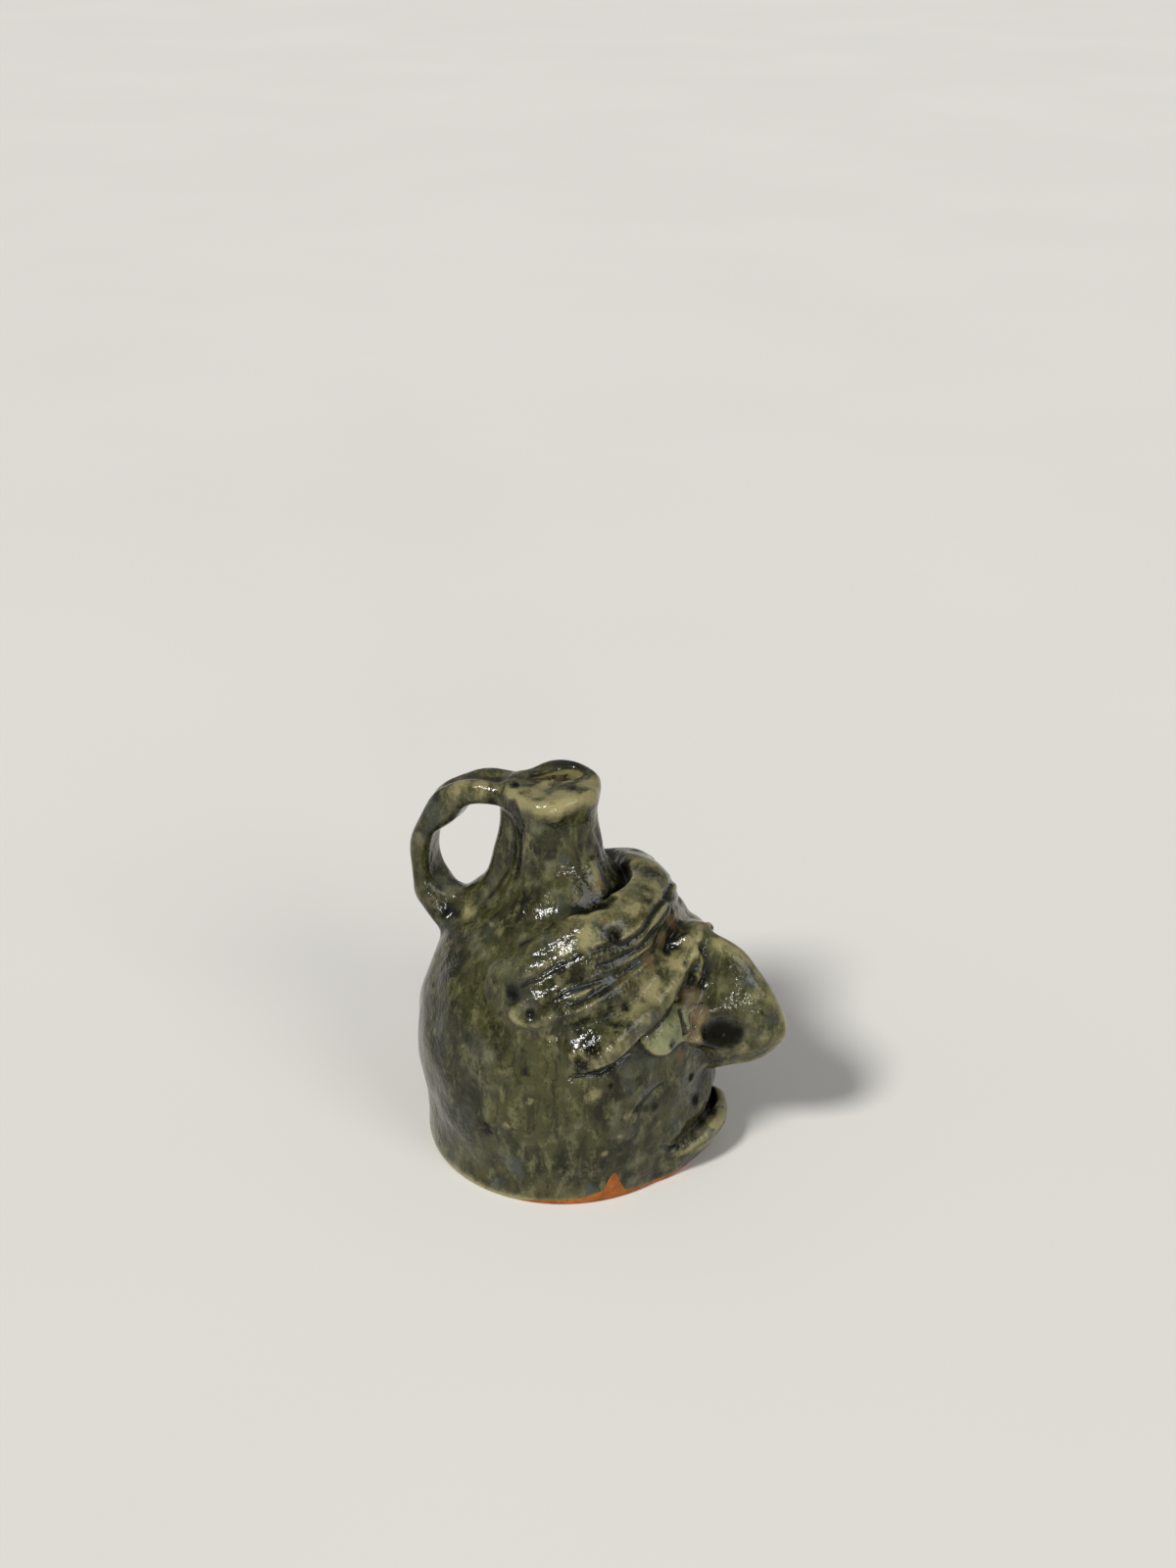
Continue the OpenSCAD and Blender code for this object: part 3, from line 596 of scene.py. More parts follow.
def upper_lip_place(u):
    full = mix(0.12, 1, math.sqrt(max(0, 1 - u * u)))
    return on_skin(UPPER_AZ * u, UPPER_Z), off_skin(UPPER_AZ * u, UPPER_Z), UPPER_W * full, UPPER_H * full


forms = {
    "pot_wall": turned_form("pot_wall", pot_fn),
    "neck": turned_form("neck", lambda x, y, z: table_at(NECK, *collar(x, y, z))),
    "rim": turned_form("rim", lambda x, y, z: table_at(RIM, *collar(x, y, z))),
    "handle": handle_form(),
    "hair_wave": hair_form(),
    "side_lock_right": lock_form(),
    "brow_right": rolled("brow", np.linspace(0, 1, 30), brow_place, pad=7.5),
    "eye_right": rolled("eye", np.linspace(EYE_AZ[0], EYE_AZ[-1], 18), eye_place),
    "nose": nose_form(),
    "lower_lip": turned_form("lower_lip", lip_fn),
    "upper_lip": rolled("upper_lip", np.linspace(-1, 1, 24), upper_lip_place),
}
for name in ("side_lock", "brow", "eye"):
    forms[name + "_left"] = forms[name + "_right"].mirrored()

# The clay fused: how softly each piece runs into what it lies on, in mm or as a function of the place

BROW_AZ, BROW_Z = brow_line(np.linspace(0, 1, 12))


def hair_soft(az, z):
    """The hair melts away at its tails."""
    return 1.2 + 4.5 * share((np.abs(az) - 45) / 40) + 0 * z


def brow_soft(az, z):
    """The brow melts away along its upper edge and at its end."""
    side = np.abs(az)
    above = z - np.interp(side, BROW_AZ, BROW_Z)
    upper = 3.4 * share((above + 1) / 4) * np.clip((side - 8) / 20, 0.3, 1)
    return 0.7 + upper + 2.0 * share((side - 52) / 12)


def lip_soft(az, z):
    """The lower lip melts away at both ends, more at the near one."""
    return 1.2 + 3.5 * share((-az - 4) / 14) + 2.5 * share((az - 12) / 12) + 0 * z


SOFT = {
    "pot_wall": 0, "neck": 3.0, "rim": 0, "handle": 3.0, "hair_wave": hair_soft,
    "side_lock_right": 3.2, "side_lock_left": 3.2, "brow_right": brow_soft, "brow_left": brow_soft,
    "eye_right": 0.5, "eye_left": 0.5, "nose": 2.6, "upper_lip": 2.2, "lower_lip": lip_soft,
}
CLAY = np.full((NX, NY, NZ), FAR, np.float32)
# The nearest and second nearest form at each place, and whose the nearest is
FIRST, SECOND = CLAY.copy(), CLAY.copy()
WHOSE = np.zeros(CLAY.shape, np.uint8)
for i, (name, soft) in enumerate(SOFT.items()):
    sl, d = forms[name].sl, forms[name].d
    if callable(soft):
        x, y, z = axes(sl)
        soft = soft(np.degrees(np.arctan2(y, x)), z)
    CLAY[sl] = smin(CLAY[sl], d, soft) if np.any(soft) else np.minimum(CLAY[sl], d)
    first, second = FIRST[sl], SECOND[sl]
    nearer = d < first
    SECOND[sl] = np.where(nearer, first, np.minimum(second, d))
    FIRST[sl] = np.where(nearer, d, first)
    WHOSE[sl][nearer] = i


def press_in(form, soft):
    """Clay added on both sides of the face."""
    for g in (form, form.mirrored()):
        CLAY[g.sl] = smin(CLAY[g.sl], g.d, soft)


# Clay pushed in between eye, brow and nose: angle, height and place off the skin, half width and thickness
FILLING = ((-14, 44.5, 0.4), (-12, 50, 1.6), (-10.5, 55, 2.2), (-11, 59.5, 2.2), (-13, 62.5, 1.2))
FILLING_W, FILLING_H = (2.4, 3.2, 3.6, 3.4, 2.4), (1.4, 2.4, 2.6, 2.4, 1.6)
f = Form(*BOXES["filling"])
roll(f, [on_skin(*q) for q in FILLING], [off_skin(*q[:2]) for q in FILLING], FILLING_W, FILLING_H)
press_in(f, 3.0)

# Sampling the field

CORNERS = [(a, b, c) for a in (0, 1) for b in (0, 1) for c in (0, 1)]


def sample(grid, p):
    q = (np.asarray(p, float) - ORIGIN) / STEP
    q = np.clip(q, 0, np.array(grid.shape) - 1.001)
    i = q.astype(int)
    f = q - i
    out = 0
    for corner in CORNERS:
        w = 1
        for k in range(3):
            w = w * (f[..., k] if corner[k] else 1 - f[..., k])
        out = out + w * grid[tuple(i[..., k] + corner[k] for k in range(3))]
    return out


def slope(value, p):
    """How a value grows along each axis."""
    pairs = [(value(p + STEP * np.eye(3)[k]), value(p - STEP * np.eye(3)[k])) for k in range(3)]
    return np.stack([a - b for a, b in pairs], -1) / (2 * STEP)


# The distances from the camera between which the jug is looked for
NEAR, BEHIND, RAY_STEP = 340.0, 620.0, 0.25


def seen(px, py):
    """The point of the clay that the camera sees at a place in the photograph's frame."""
    ray = unit(LOOK + RIGHT * (px - FRAME_W / 2) / F_PX - UP * (py - FRAME_H / 2) / F_PX)
    pts = CAM + ray * np.arange(NEAR, BEHIND, RAY_STEP)[:, None]
    pts = pts[np.all((pts > ORIGIN + 1) & (pts < ORIGIN + (np.array(CLAY.shape) - 2) * STEP), 1)]
    return pts[np.nonzero(sample(CLAY, pts) < 0)[0][0]]


def line_at(places):
    return [seen(*q) for q in places]


def carve(pts, width, depth, twin=False):
    """A line pressed into the clay, or raised where the depth is negative."""
    pts = [a * (1 - t) + b * t for a, b in zip(pts, pts[1:]) for t in (0, 0.5)] + [pts[-1]]
    over = [i for i, p in enumerate(pts) if p[1] > 0] if twin else []
    if over:
        a, b = pts[over[0] - 1], pts[over[0]]
        pts = pts[: over[0]] + [a + (b - a) * a[1] / (a[1] - b[1])]
    meets = twin and abs(pts[-1][1]) < 2
    reach = 3 * width + 1
    lo, hi = np.min(pts, 0) - reach, np.max(pts, 0) + reach
    for sign in (1, -1) if twin else (1,):
        a, b = (lo, hi) if sign == 1 else (lo * (1, -1, 1), hi * (1, -1, 1))
        sl = span(np.minimum(a, b), np.maximum(a, b))
        x, y, z = axes(sl)
        y = y * sign
        best = np.full([s.stop - s.start for s in sl], 99.0, np.float32)
        total = len(pts) - 1
        fade = np.zeros_like(best)
        for i in range(total):
            p, e = pts[i], pts[i + 1] - pts[i]
            v = [c - a for c, a in zip((x, y, z), p)]
            t = share(dot(v, e) / max(float(e @ e), 1e-9))
            d = np.sqrt(sum((a - b * t) ** 2 for a, b in zip(v, e)))
            near = d < best
            best = np.where(near, d, best)
            fade = np.where(near, (i + t) / total, fade)
        away = np.where(fade > 0.5, 0.0, 1 - 2 * fade) if meets else np.abs(2 * fade - 1)
        end = share(1 - away**4) ** 0.5
        CLAY[sl] += depth * end * bell(best, 0, width)


def dent(p, size, depth, twin=False):
    for sign in (1, -1) if twin else (1,):
        q = p * (1, sign, 1)
        sl = span(q - 3 * size, q + 3 * size)
        x, y, z = axes(sl)
        CLAY[sl] += depth * np.exp(-((x - q[0]) ** 2 + (y - q[1]) ** 2 + (z - q[2]) ** 2) / size**2)


# Lines and dents that fingers and tools left, by places in the photograph's frame. A line has its places,
# a width and a depth in mm, a dent its place, size and depth. Where True follows, the far side has it too.

SLOT = (712, 972), (712, 981), (709, 991), (705, 1000)
SLOT_R, SLOT_BEHIND = (1.0, 1.8, 2.0, 1.3), 1.4
FOREHEAD = (689, 932), (685, 952), (672, 975), (656, 992), (640, 1004)
HAIR_LINES = {
    "tail": (((530, 1007), (548, 998), (568, 987), (584, 979), (598, 972)), 0.75, 0.7),
    "tail_high": (((540, 978), (554, 974), (573, 962), (590, 951)), 0.8, 0.4),
    "lock": (((561, 1023), (580, 1012), (600, 1005), (618, 999), (632, 993), (655, 979), (671, 964)),
             0.65, 0.8),
    "wave_edge": (((579, 1027), (599, 1019), (610, 1012), (627, 1002), (642, 990), (655, 979), (669, 969),
                   (675, 951), (683, 938), (688, 920)), 0.8, 1.2),
    "wave_mid": (((599, 972), (618, 967), (638, 964), (647, 957), (656, 950), (667, 930), (676, 919),
                  (684, 905), (686, 898)), 0.7, 0.9),
    "wave_low": (((607, 986), (621, 983), (639, 975), (655, 965), (666, 951), (678, 934), (684, 915)),
                 0.6, 0.7),
}
HAIR_WIDER, HAIR_SHALLOWER = 1.25, 0.85
FACE_LINES = {
    "brow_under": (((578, 1100), (595, 1096), (611, 1096), (621, 1089), (640, 1075), (657, 1057)),
                   0.7, 0.8, True),
    "brow_wrinkle": (((715, 966), (716, 977), (712, 987), (703, 994)), 0.7, 0.9, True),
    "brow_wrinkle_back": (((706, 962), (703, 973), (698, 987)), 0.7, 0.6, True),
    "pupil": (((693, 1029), (697, 1042), (699, 1056)), 0.9, 1.5, True),
    "wrinkle_top": (((703, 1030), (706, 1024), (711, 1026)), 0.6, 0.3, True),
    "wrinkle_front": (((716, 1022), (714, 1030), (711, 1038)), 0.6, 0.35, True),
    "wrinkle_back": (((704, 1033), (706, 1045), (704, 1060)), 0.6, 0.35, True),
    "cheek": (((679, 1104), (668, 1112), (663, 1117), (650, 1130), (640, 1144)), 0.7, 0.7, True),
    "lip_side": (((672, 1168), (684, 1173), (692, 1170)), 0.6, 0.5, False),
}
DENTS = {
    "tail_end": ((522, 1012), 2.6, 1.3, True),
    "lock_end": ((540, 1035), 2.4, 1.2, True),
    "wave_dip": ((627, 957), 2.2, 0.9, True),
    "nose_under": ((705, 1099), 0.9, 1.3, True),
    "lip_end": ((709, 1122), 2.2, 0.5, True),
    "handle_thumb": ((458, 925), 3.0, 1.0, False),
    "handle_knob": ((478, 929), 2.4, -0.9, False),
}
NECK_LINES = {
    "fold": (((604, 876), (607, 890), (611, 906), (620, 914)), 2.4, -0.8),
    "foot": (((580, 934), (598, 929), (614, 923), (627, 913)), 1.4, 1.2),
    "shoulder": (((528, 966), (540, 959), (555, 950), (568, 940)), 1.5, 0.5),
    "smear_edge": (((524, 815), (531, 840), (529, 870), (524, 900)), 1.5, 0.7),
    "fold_high": (((607, 843), (613, 862), (620, 881), (629, 896)), 1.2, 0.6),
    "fold_front": (((614, 862), (624, 880), (638, 894)), 1.1, 0.6),
}
RIM_NICK = (526, 801)

# The slot between brow and nose nearly closed
pts = [p - SLOT_BEHIND * LOOK for p in line_at(SLOT)]
f = Form(np.min(pts, 0) - 12, np.max(pts, 0) + 12)
roll(f, pts, [-LOOK] * len(pts), SLOT_R, SLOT_R)
press_in(f, 2.6)

# The forehead left low under the hair
carve(line_at(FOREHEAD), 2.2, 1.3, True)
for pts, width, depth in [(line_at(places), width, depth) for places, width, depth in HAIR_LINES.values()]:
    carve(pts, HAIR_WIDER * width, HAIR_SHALLOWER * depth, True)
for places, *how in FACE_LINES.values():
    carve(line_at(places), *how)
for place, *how in DENTS.values():
    dent(seen(*place), *how)
for places, *how in NECK_LINES.values():
    carve(line_at(places), *how)
dent(seen(*RIM_NICK), 1.4, 0.7)

# Where the glaze pools, thins or turns, and where shade and highlights are painted on: a place in the
# photograph's frame, the reach in mm and the strength

BOTH_SIDES = {
    # The dark spots: glaze pooled in hollows, and painted shade in the nostril, the slot between brow and
    # nose and other creases
    "pool_and_shade": {
        "nostril": ((737, 1056, 5.5, 1.2), (724, 1060, 4.0, 1.0), (750, 1052, 3.6, 0.9)),
        "slot": ((705, 1001, 2.4, 1.0), (716, 1010, 1.8, 0.5)),
        "hair": ((627, 957, 2.2, 0.95), (522, 1012, 3.4, 0.5), (540, 1034, 3.2, 0.5)),
        "brow": ((606, 1070, 3.0, 0.9), (592, 1086, 3.4, 0.8), (639, 1026, 2.2, 0.7)),
        "cheek": ((669, 1129, 1.6, 0.8), (685, 1067, 2.0, 0.6), (705, 1099, 1.5, 0.9)),
    },
    # The pale spots: glaze run thin on ridges, with painted highlights along the brow's crest, on the hair
    # and on the nose's wings
    "pale_glaze_and_highlight": {
        "brow": ((645, 1028, 4.6, 0.55), (664, 1008, 5.0, 0.65), (684, 984, 5.0, 0.65), (704, 962, 3.6, 0.5)),
        "hair": ((575, 972, 3.0, 0.6), (645, 925, 4.5, 0.6), (668, 905, 4.0, 0.5)),
        "wing": ((738, 1074, 3.2, 0.6), (756, 1070, 3.2, 0.55)),
    },
    "warm": {
        "eye": ((704, 1020, 3.6, 0.9), (713, 1036, 3.2, 0.9), (708, 1056, 2.8, 0.7), (694, 1078, 1.8, 0.8)),
        "forehead": ((686, 940, 2.6, 1.0), (678, 958, 2.6, 1.0), (660, 978, 2.6, 0.9), (638, 998, 2.6, 0.5)),
    },
    "blue": {
        "lock": ((590, 1008, 2.0, 0.6), (622, 999, 1.8, 0.8), (650, 982, 1.6, 0.8)),
        "brow": ((668, 1036, 2.0, 0.7), (655, 1050, 2.0, 0.6), (690, 1012, 1.6, 0.6)),
    },
}
NEAR_SIDE = {
    # The dark spots on the near side: pooled glaze, painted shadow under the neck's fold and painted shade
    # down the left side
    "pool_and_shade": {
        # Painted shadow in the crevice under the neck's fold, and darker glaze on the neck
        "neck": ((612, 925, 2.6, 1.0), (630, 909, 2.2, 0.9), (596, 931, 2.2, 0.9), (600, 860, 2.6, 0.5),
                 (640, 884, 3.0, 0.6)),
        "handle": ((530, 850, 2.4, 0.8), (528, 880, 2.6, 0.7), (502, 818, 2.0, 0.9), (455, 933, 2.2, 0.7)),
        "rim": ((526, 801, 1.5, 0.9), (585, 806, 1.2, 0.8)),
        "mouth": ((709, 1122, 2.6, 0.9), (722, 1124, 2.6, 1.0), (724, 1135, 2.2, 0.9), (714, 1143, 2.0, 0.8)),
        "nose": ((777, 1033, 1.1, 0.7),),
        "belly": ((497, 1150, 3.6, 0.8), (623, 1108, 1.2, 0.9), (535, 1095, 2.6, 0.5), (538, 1122, 2.0, 0.5),
                  (576, 1190, 2.6, 0.5)),
        # Painted shade down the left side, over glaze that is darker there too
        "left": ((448, 1010, 13, 0.42), (446, 1075, 13, 0.45), (455, 1140, 12, 0.42), (470, 960, 9, 0.36),
                 (500, 1190, 9, 0.32), (465, 1020, 4.0, 0.4)),
    },
    # The pale spots on the near side: pale glaze, with painted highlights on the rim, the strap's top and the
    # hair
    "pale_glaze_and_highlight": {
        "rim": ((545, 810, 4.2, 0.7), (570, 815, 5.0, 0.8), (600, 800, 4.6, 0.8), (555, 799, 2.6, 0.8),
                (580, 797, 2.6, 0.8), (532, 806, 2.4, 0.7)),
        "strap": ((445, 808, 4.0, 0.45), (470, 800, 4.6, 0.55), (495, 804, 4.6, 0.55), (478, 930, 3.2, 0.7)),
        "hair": ((596, 955, 3.6, 0.7),),
        "nose": ((735, 962, 2.4, 0.6), (772, 1018, 2.2, 0.4)),
        "belly": ((560, 1060, 2.2, 0.4), (605, 1120, 3.0, 0.5), (640, 1140, 3.0, 0.4), (530, 1130, 2.6, 0.4)),
    },
    "warm": {
        "neck": ((565, 790, 3.4, 1.0), (608, 905, 2.0, 0.6), (532, 850, 1.8, 0.3)),
        "nose": ((720, 942, 2.6, 0.6), (619, 940, 0.9, 1.0)),
        "mouth": ((730, 1120, 2.4, 0.9), (727, 1141, 2.0, 0.7), (668, 1155, 4.0, 0.25)),
    },
    "blue": {
        "nose": ((766, 996, 3.4, 0.6), (790, 1040, 3.0, 0.5)),
        "belly": ((525, 1190, 4.0, 0.7), (507, 1208, 3.0, 0.5), (602, 1215, 2.0, 0.8), (660, 1115, 4.0, 0.5)),
        "mouth": ((690, 1145, 3.4, 0.5), (724, 1160, 3.0, 0.5)),
        "neck": ((576, 878, 2.4, 0.6), (452, 905, 3.0, 0.5)),
    },
}


def spots(key):
    out = []
    for table, signs in ((BOTH_SIDES, (1, -1)), (NEAR_SIDE, (1,))):
        for group in table[key].values():
            for px, py, reach, strength in group:
                out += [(seen(px, py) * (1, sign, 1), reach, strength) for sign in signs]
    return out


SPOTS = {key: spots(key) for key in BOTH_SIDES}
# Inside the bore and the mouth the glaze is brown, and painted shade darkens it
BORE_PAINT = {"pool_and_shade": 0.5, "warm": 0.9}
BORE_REACH, BORE_TOP = 8.5, 108.6


def painted(key, p):
    out = np.zeros(len(p))
    if key in BORE_PAINT:
        u, w = lean_back(p[:, 0], p[:, 2])
        bore = (np.hypot(u, p[:, 1]) < BORE_REACH) & (w > 60) & (w < BORE_TOP) & (sample(CLAY, p) < -0.3)
        out[bore] = BORE_PAINT[key]
    for q, reach, strength in SPOTS[key]:
        out = np.maximum(out, strength * np.exp(-((p - q) ** 2).sum(1) / reach**2))
    return out


def bared(p):
    """1 where the foot is left without glaze: a wavy line, low at the left, with one tall tongue."""
    az = np.degrees(np.arctan2(p[:, 1], p[:, 0]))
    a = np.radians(az)
    line = 1.0 + 0.9 * np.sin(a + 1.9) + 0.35 * np.sin(5 * a + 1) + 0.2 * np.sin(13 * a)
    line = line - 1.5 * share((-az - 84) / 14) * share((az + 175) / 40)
    line = line + 6.6 * bell(az, -52, 3.0) + 1.6 * bell(az, -57, 7)
    return share((line - p[:, 2]) / 0.5 + 0.5)


# Slow waves of a hand-made surface, then small dents on the cheeks and shallow ones all round

WAVES, WAVE_DEPTH, WAVE_LONG = 16, 0.16, (9, 24)
# How many, how far round in degrees, heights, place off the skin, sizes and depths
LOOSE_DENTS = (
    (150, 100, (8, 44), 0.3, (1.4, 2.8), (-0.32, 0.2)),
    (90, 180, (10, 70), 0.2, (1.5, 4.5), (-0.3, 0.3)),
)
rng = np.random.default_rng(7)
lump = np.zeros(CLAY.shape, np.float32)
x, y, z = axes((slice(0, NX), slice(0, NY), slice(0, NZ)))
for _ in range(WAVES):
    k = rng.normal(size=3)
    k *= 2 * math.pi / rng.uniform(*WAVE_LONG) / np.linalg.norm(k)
    a, b, c = (np.sin(k[i] * along + rng.uniform(0, 6)) for i, along in enumerate((x, y, z)))
    lump += (a * b * c).astype(np.float32)
CLAY += WAVE_DEPTH * lump * share((z - 1) / 6)
for count, round_to, heights, out, sizes, depths in LOOSE_DENTS:
    for _ in range(count):
        az, h = rng.uniform(-round_to, round_to), rng.uniform(*heights)
        dent(on_skin(az, h, out), rng.uniform(*sizes), rng.uniform(*depths))
# Nothing goes below the plane that the jug stands on
CLAY = np.maximum(CLAY, -z)


def blur(g, r):
    for ax in range(3):
        for _ in range(2):
            pad = [(0, 0)] * 3
            pad[ax] = (r + 1, r)
            c = np.cumsum(np.pad(g, pad, mode="edge"), axis=ax, dtype=np.float32)
            hi = [slice(None)] * 3
            lo = [slice(None)] * 3
            hi[ax], lo[ax] = slice(2 * r + 1, None), slice(0, -(2 * r + 1))
            g = (c[tuple(hi)] - c[tuple(lo)]) / (2 * r + 1)
    return g


# Ridges above 0 and grooves below, at two sizes
near = np.clip(CLAY, -2.2, 2.2)
FINE = blur(near, 2) - near
BROAD = blur(near, 6) - near

# Meshes out of the field


def nets(grid, box, stride=1):
    """Quads round the zero of a field, one point in each cell that it passes through."""
    g = grid[::stride, ::stride, ::stride]
    neg = g < 0
    cell = np.zeros([n - 1 for n in g.shape], np.int8)
    for dx, dy, dz in CORNERS:
        cell += neg[dx : dx + cell.shape[0], dy : dy + cell.shape[1], dz : dz + cell.shape[2]]
    live = (cell > 0) & (cell < 8)
    ids = -np.ones(cell.shape, np.int64)
    idx = np.argwhere(live)
    ids[live] = np.arange(len(idx))
    total, count = np.zeros((len(idx), 3)), np.zeros(len(idx))
    for a, axis in ((np.array(c), k) for c in CORNERS for k in range(3) if not c[k]):
        ga, gb = (g[tuple((idx + c).T)] for c in (a, a + np.eye(3, dtype=int)[axis]))
        cross = (ga < 0) != (gb < 0)
        p = idx + a.astype(float)
        p[:, axis] += np.where(cross, ga / np.where(cross, ga - gb, 1), 0)
        total += np.where(cross[:, None], p, 0)
        count += cross
    verts = (total / count[:, None]) * stride * STEP + ORIGIN + np.array([s.start for s in box]) * STEP
    quads = []
    for axis in range(3):
        others = [i for i in range(3) if i != axis]
        a, b = [slice(1, -1)] * 3, [slice(1, -1)] * 3
        a[axis], b[axis] = slice(0, -1), slice(1, None)
        na, nb = neg[tuple(a)], neg[tuple(b)]
        where = np.argwhere(na != nb)
        inside_first = na[tuple(where.T)]
        base = where + (np.arange(3) != axis)
        loop = []
        for s, t in ((0, 0), (-1, 0), (-1, -1), (0, -1)):
            c = base.copy()
            c[:, others[0]] += s
            c[:, others[1]] += t
            loop.append(ids[tuple(c.T)])
        loop = np.stack(loop, 1)
        flip = inside_first if axis == 1 else ~inside_first
        loop[flip] = loop[flip][:, ::-1]
        quads.append(loop)
    return verts, np.concatenate(quads)


def settled(verts, field, box, stride):
    """The points of a net moved onto the zero of the field."""
    start = np.array([s.start for s in box]) * STEP + ORIGIN

    def own(p):
        q = np.clip((p - start) / STEP, 0, np.array(field.shape) - 1.001)
        return sample(field, q * STEP + ORIGIN)

    for _ in range(2):
        g = slope(own, verts)
        size = np.maximum((g**2).sum(1), 0.2)
        move = -(own(verts) / size)[:, None] * g
        cap = 0.5 * STEP * stride
        length = np.linalg.norm(move, axis=1, keepdims=True)
        verts = verts + move * np.minimum(1, cap / np.maximum(length, 1e-9))
    return verts


def set_normals(mesh, verts):
    """Outside, the normals of the fused clay, so that no seam shows between the pieces."""
    outside = sample(CLAY, verts) > -0.25
    grad = slope(lambda p: sample(CLAY, p), verts)
    grad /= np.maximum(np.linalg.norm(grad, axis=1, keepdims=True), 1e-6)
    normal = np.zeros(len(verts) * 3, np.float32)
    mesh.vertices.foreach_get("normal", normal)
    normal = normal.reshape(-1, 3)
    normal[outside] = grad[outside]
    mesh.normals_split_custom_set_from_vertices(normal.tolist())


# The relief that counts as 1 in each of the two, and the most that the strap's thin edges may show
FINE_SCALE, BROAD_SCALE, STRAP_MOST = 0.16, 0.7, 0.2


def build(name, field, box, stride=1):
    verts, quads = nets(field, box, stride)
    verts = settled(verts, field, box, stride)
    mesh = bpy.data.meshes.new(name)
    mesh.from_pydata(verts * 0.001, [], quads, shade_flat=False)
    set_normals(mesh, verts)
    most = STRAP_MOST if name.startswith("handle") else 1.0
    values = {
        "fine": np.clip(sample(FINE, verts) / FINE_SCALE, -1, most),
        "broad": np.clip(sample(BROAD, verts) / BROAD_SCALE, -1, most),
        "bared": bared(verts),
    }
    values.update({key: painted(key, verts) for key in SPOTS})
    for key, value in values.items():
        mesh.attributes.new(key, "FLOAT", "POINT").data.foreach_set("value", value.astype(np.float32))
    return added(name, mesh)


def hollowed(field, box, soft, back=0.0):
    """The field with the pot's inside and the bore taken out, both made larger by back."""
    x, y, z = axes(box)
    inside = table_at(CAVITY, np.hypot(x, y), z + 0 * x)
    u, w = lean_back(x, z)
    az = np.arctan2(y, u) - VIEW_AZ
    up = share((w - 99) / 9) ** 1.5
    r = np.hypot(u, y)
    deep, across = r * np.cos(az) + SLIT_SHIFT * up, r * np.sin(az)
    across = across - 1.0 * up
    long = mix(BORE_R, SLIT_LONG, up)
    short = mix(BORE_R, SLIT_SHORT, up) * (1 + 0.25 * np.sin(across / 4) * up)
    k = np.sqrt((deep / short) ** 2 + (across / long) ** 2) + 1e-4
    bore = np.maximum((k - 1) * np.sqrt(deep**2 + across**2) / k, NECK_LOW - 2 - w)
    return smax(field, back - np.minimum(inside, bore), soft)


# How far a piece dips under its neighbour's skin, how far they overlap, how far roots keep from the hollow
SINK, TIE, ROOT_BACK = 0.06, 0.5, 1.5
HOLLOW_PIECES = ("pot_wall", "neck", "rim")
SLAB_H = 9


def past_own(i, name, form):
    """How far a place lies past the piece's own share of the clay."""
    x, y, z = axes(form.sl)
    above = lean_back(x, z)[1] - RIM_Z + 0 * y
    if name == "rim":
        return np.maximum(-above, form.d - 0.9)
    gap = np.where(WHOSE[form.sl] == i, form.d - SECOND[form.sl], form.d - FIRST[form.sl])
    return np.maximum(gap, above) if name == "neck" else gap


pieces = {}
for i, name in enumerate(SOFT):
    form = forms[name]
    sl = form.sl
    gap = past_own(i, name, form)
    gap = SINK * share(gap / 0.2) + 1.1 * np.maximum(0, gap - TIE)
    field = CLAY[sl] + gap
    z = axes(sl)[2]
    if name == "pot_wall":
        slab = np.maximum(field, z - FLOOR - 0.5)[:, :, : int(SLAB_H / STEP)]
        field = np.maximum(field, FLOOR - 0.5 - z)
    back = 0.0 if name in HOLLOW_PIECES else ROOT_BACK
    field = hollowed(field, sl, 1.2 if name == "rim" else 0.3, back)
    pieces[name] = build(name + "_clay", field, sl, 2 if name == "pot_wall" else 1)
    if name == "pot_wall":
        box = (sl[0], sl[1], slice(sl[2].start, sl[2].start + slab.shape[2]))
        pieces["foot_slab"] = build("foot_slab_clay", slab, box)
print("pieces", {k: len(v.data.polygons) for k, v in pieces.items()})

# Materials


def srgb(r, g, b):
    return tuple(((c / 255 + 0.055) / 1.055) ** 2.4 if c > 10 else c / 255 / 12.92 for c in (r, g, b))


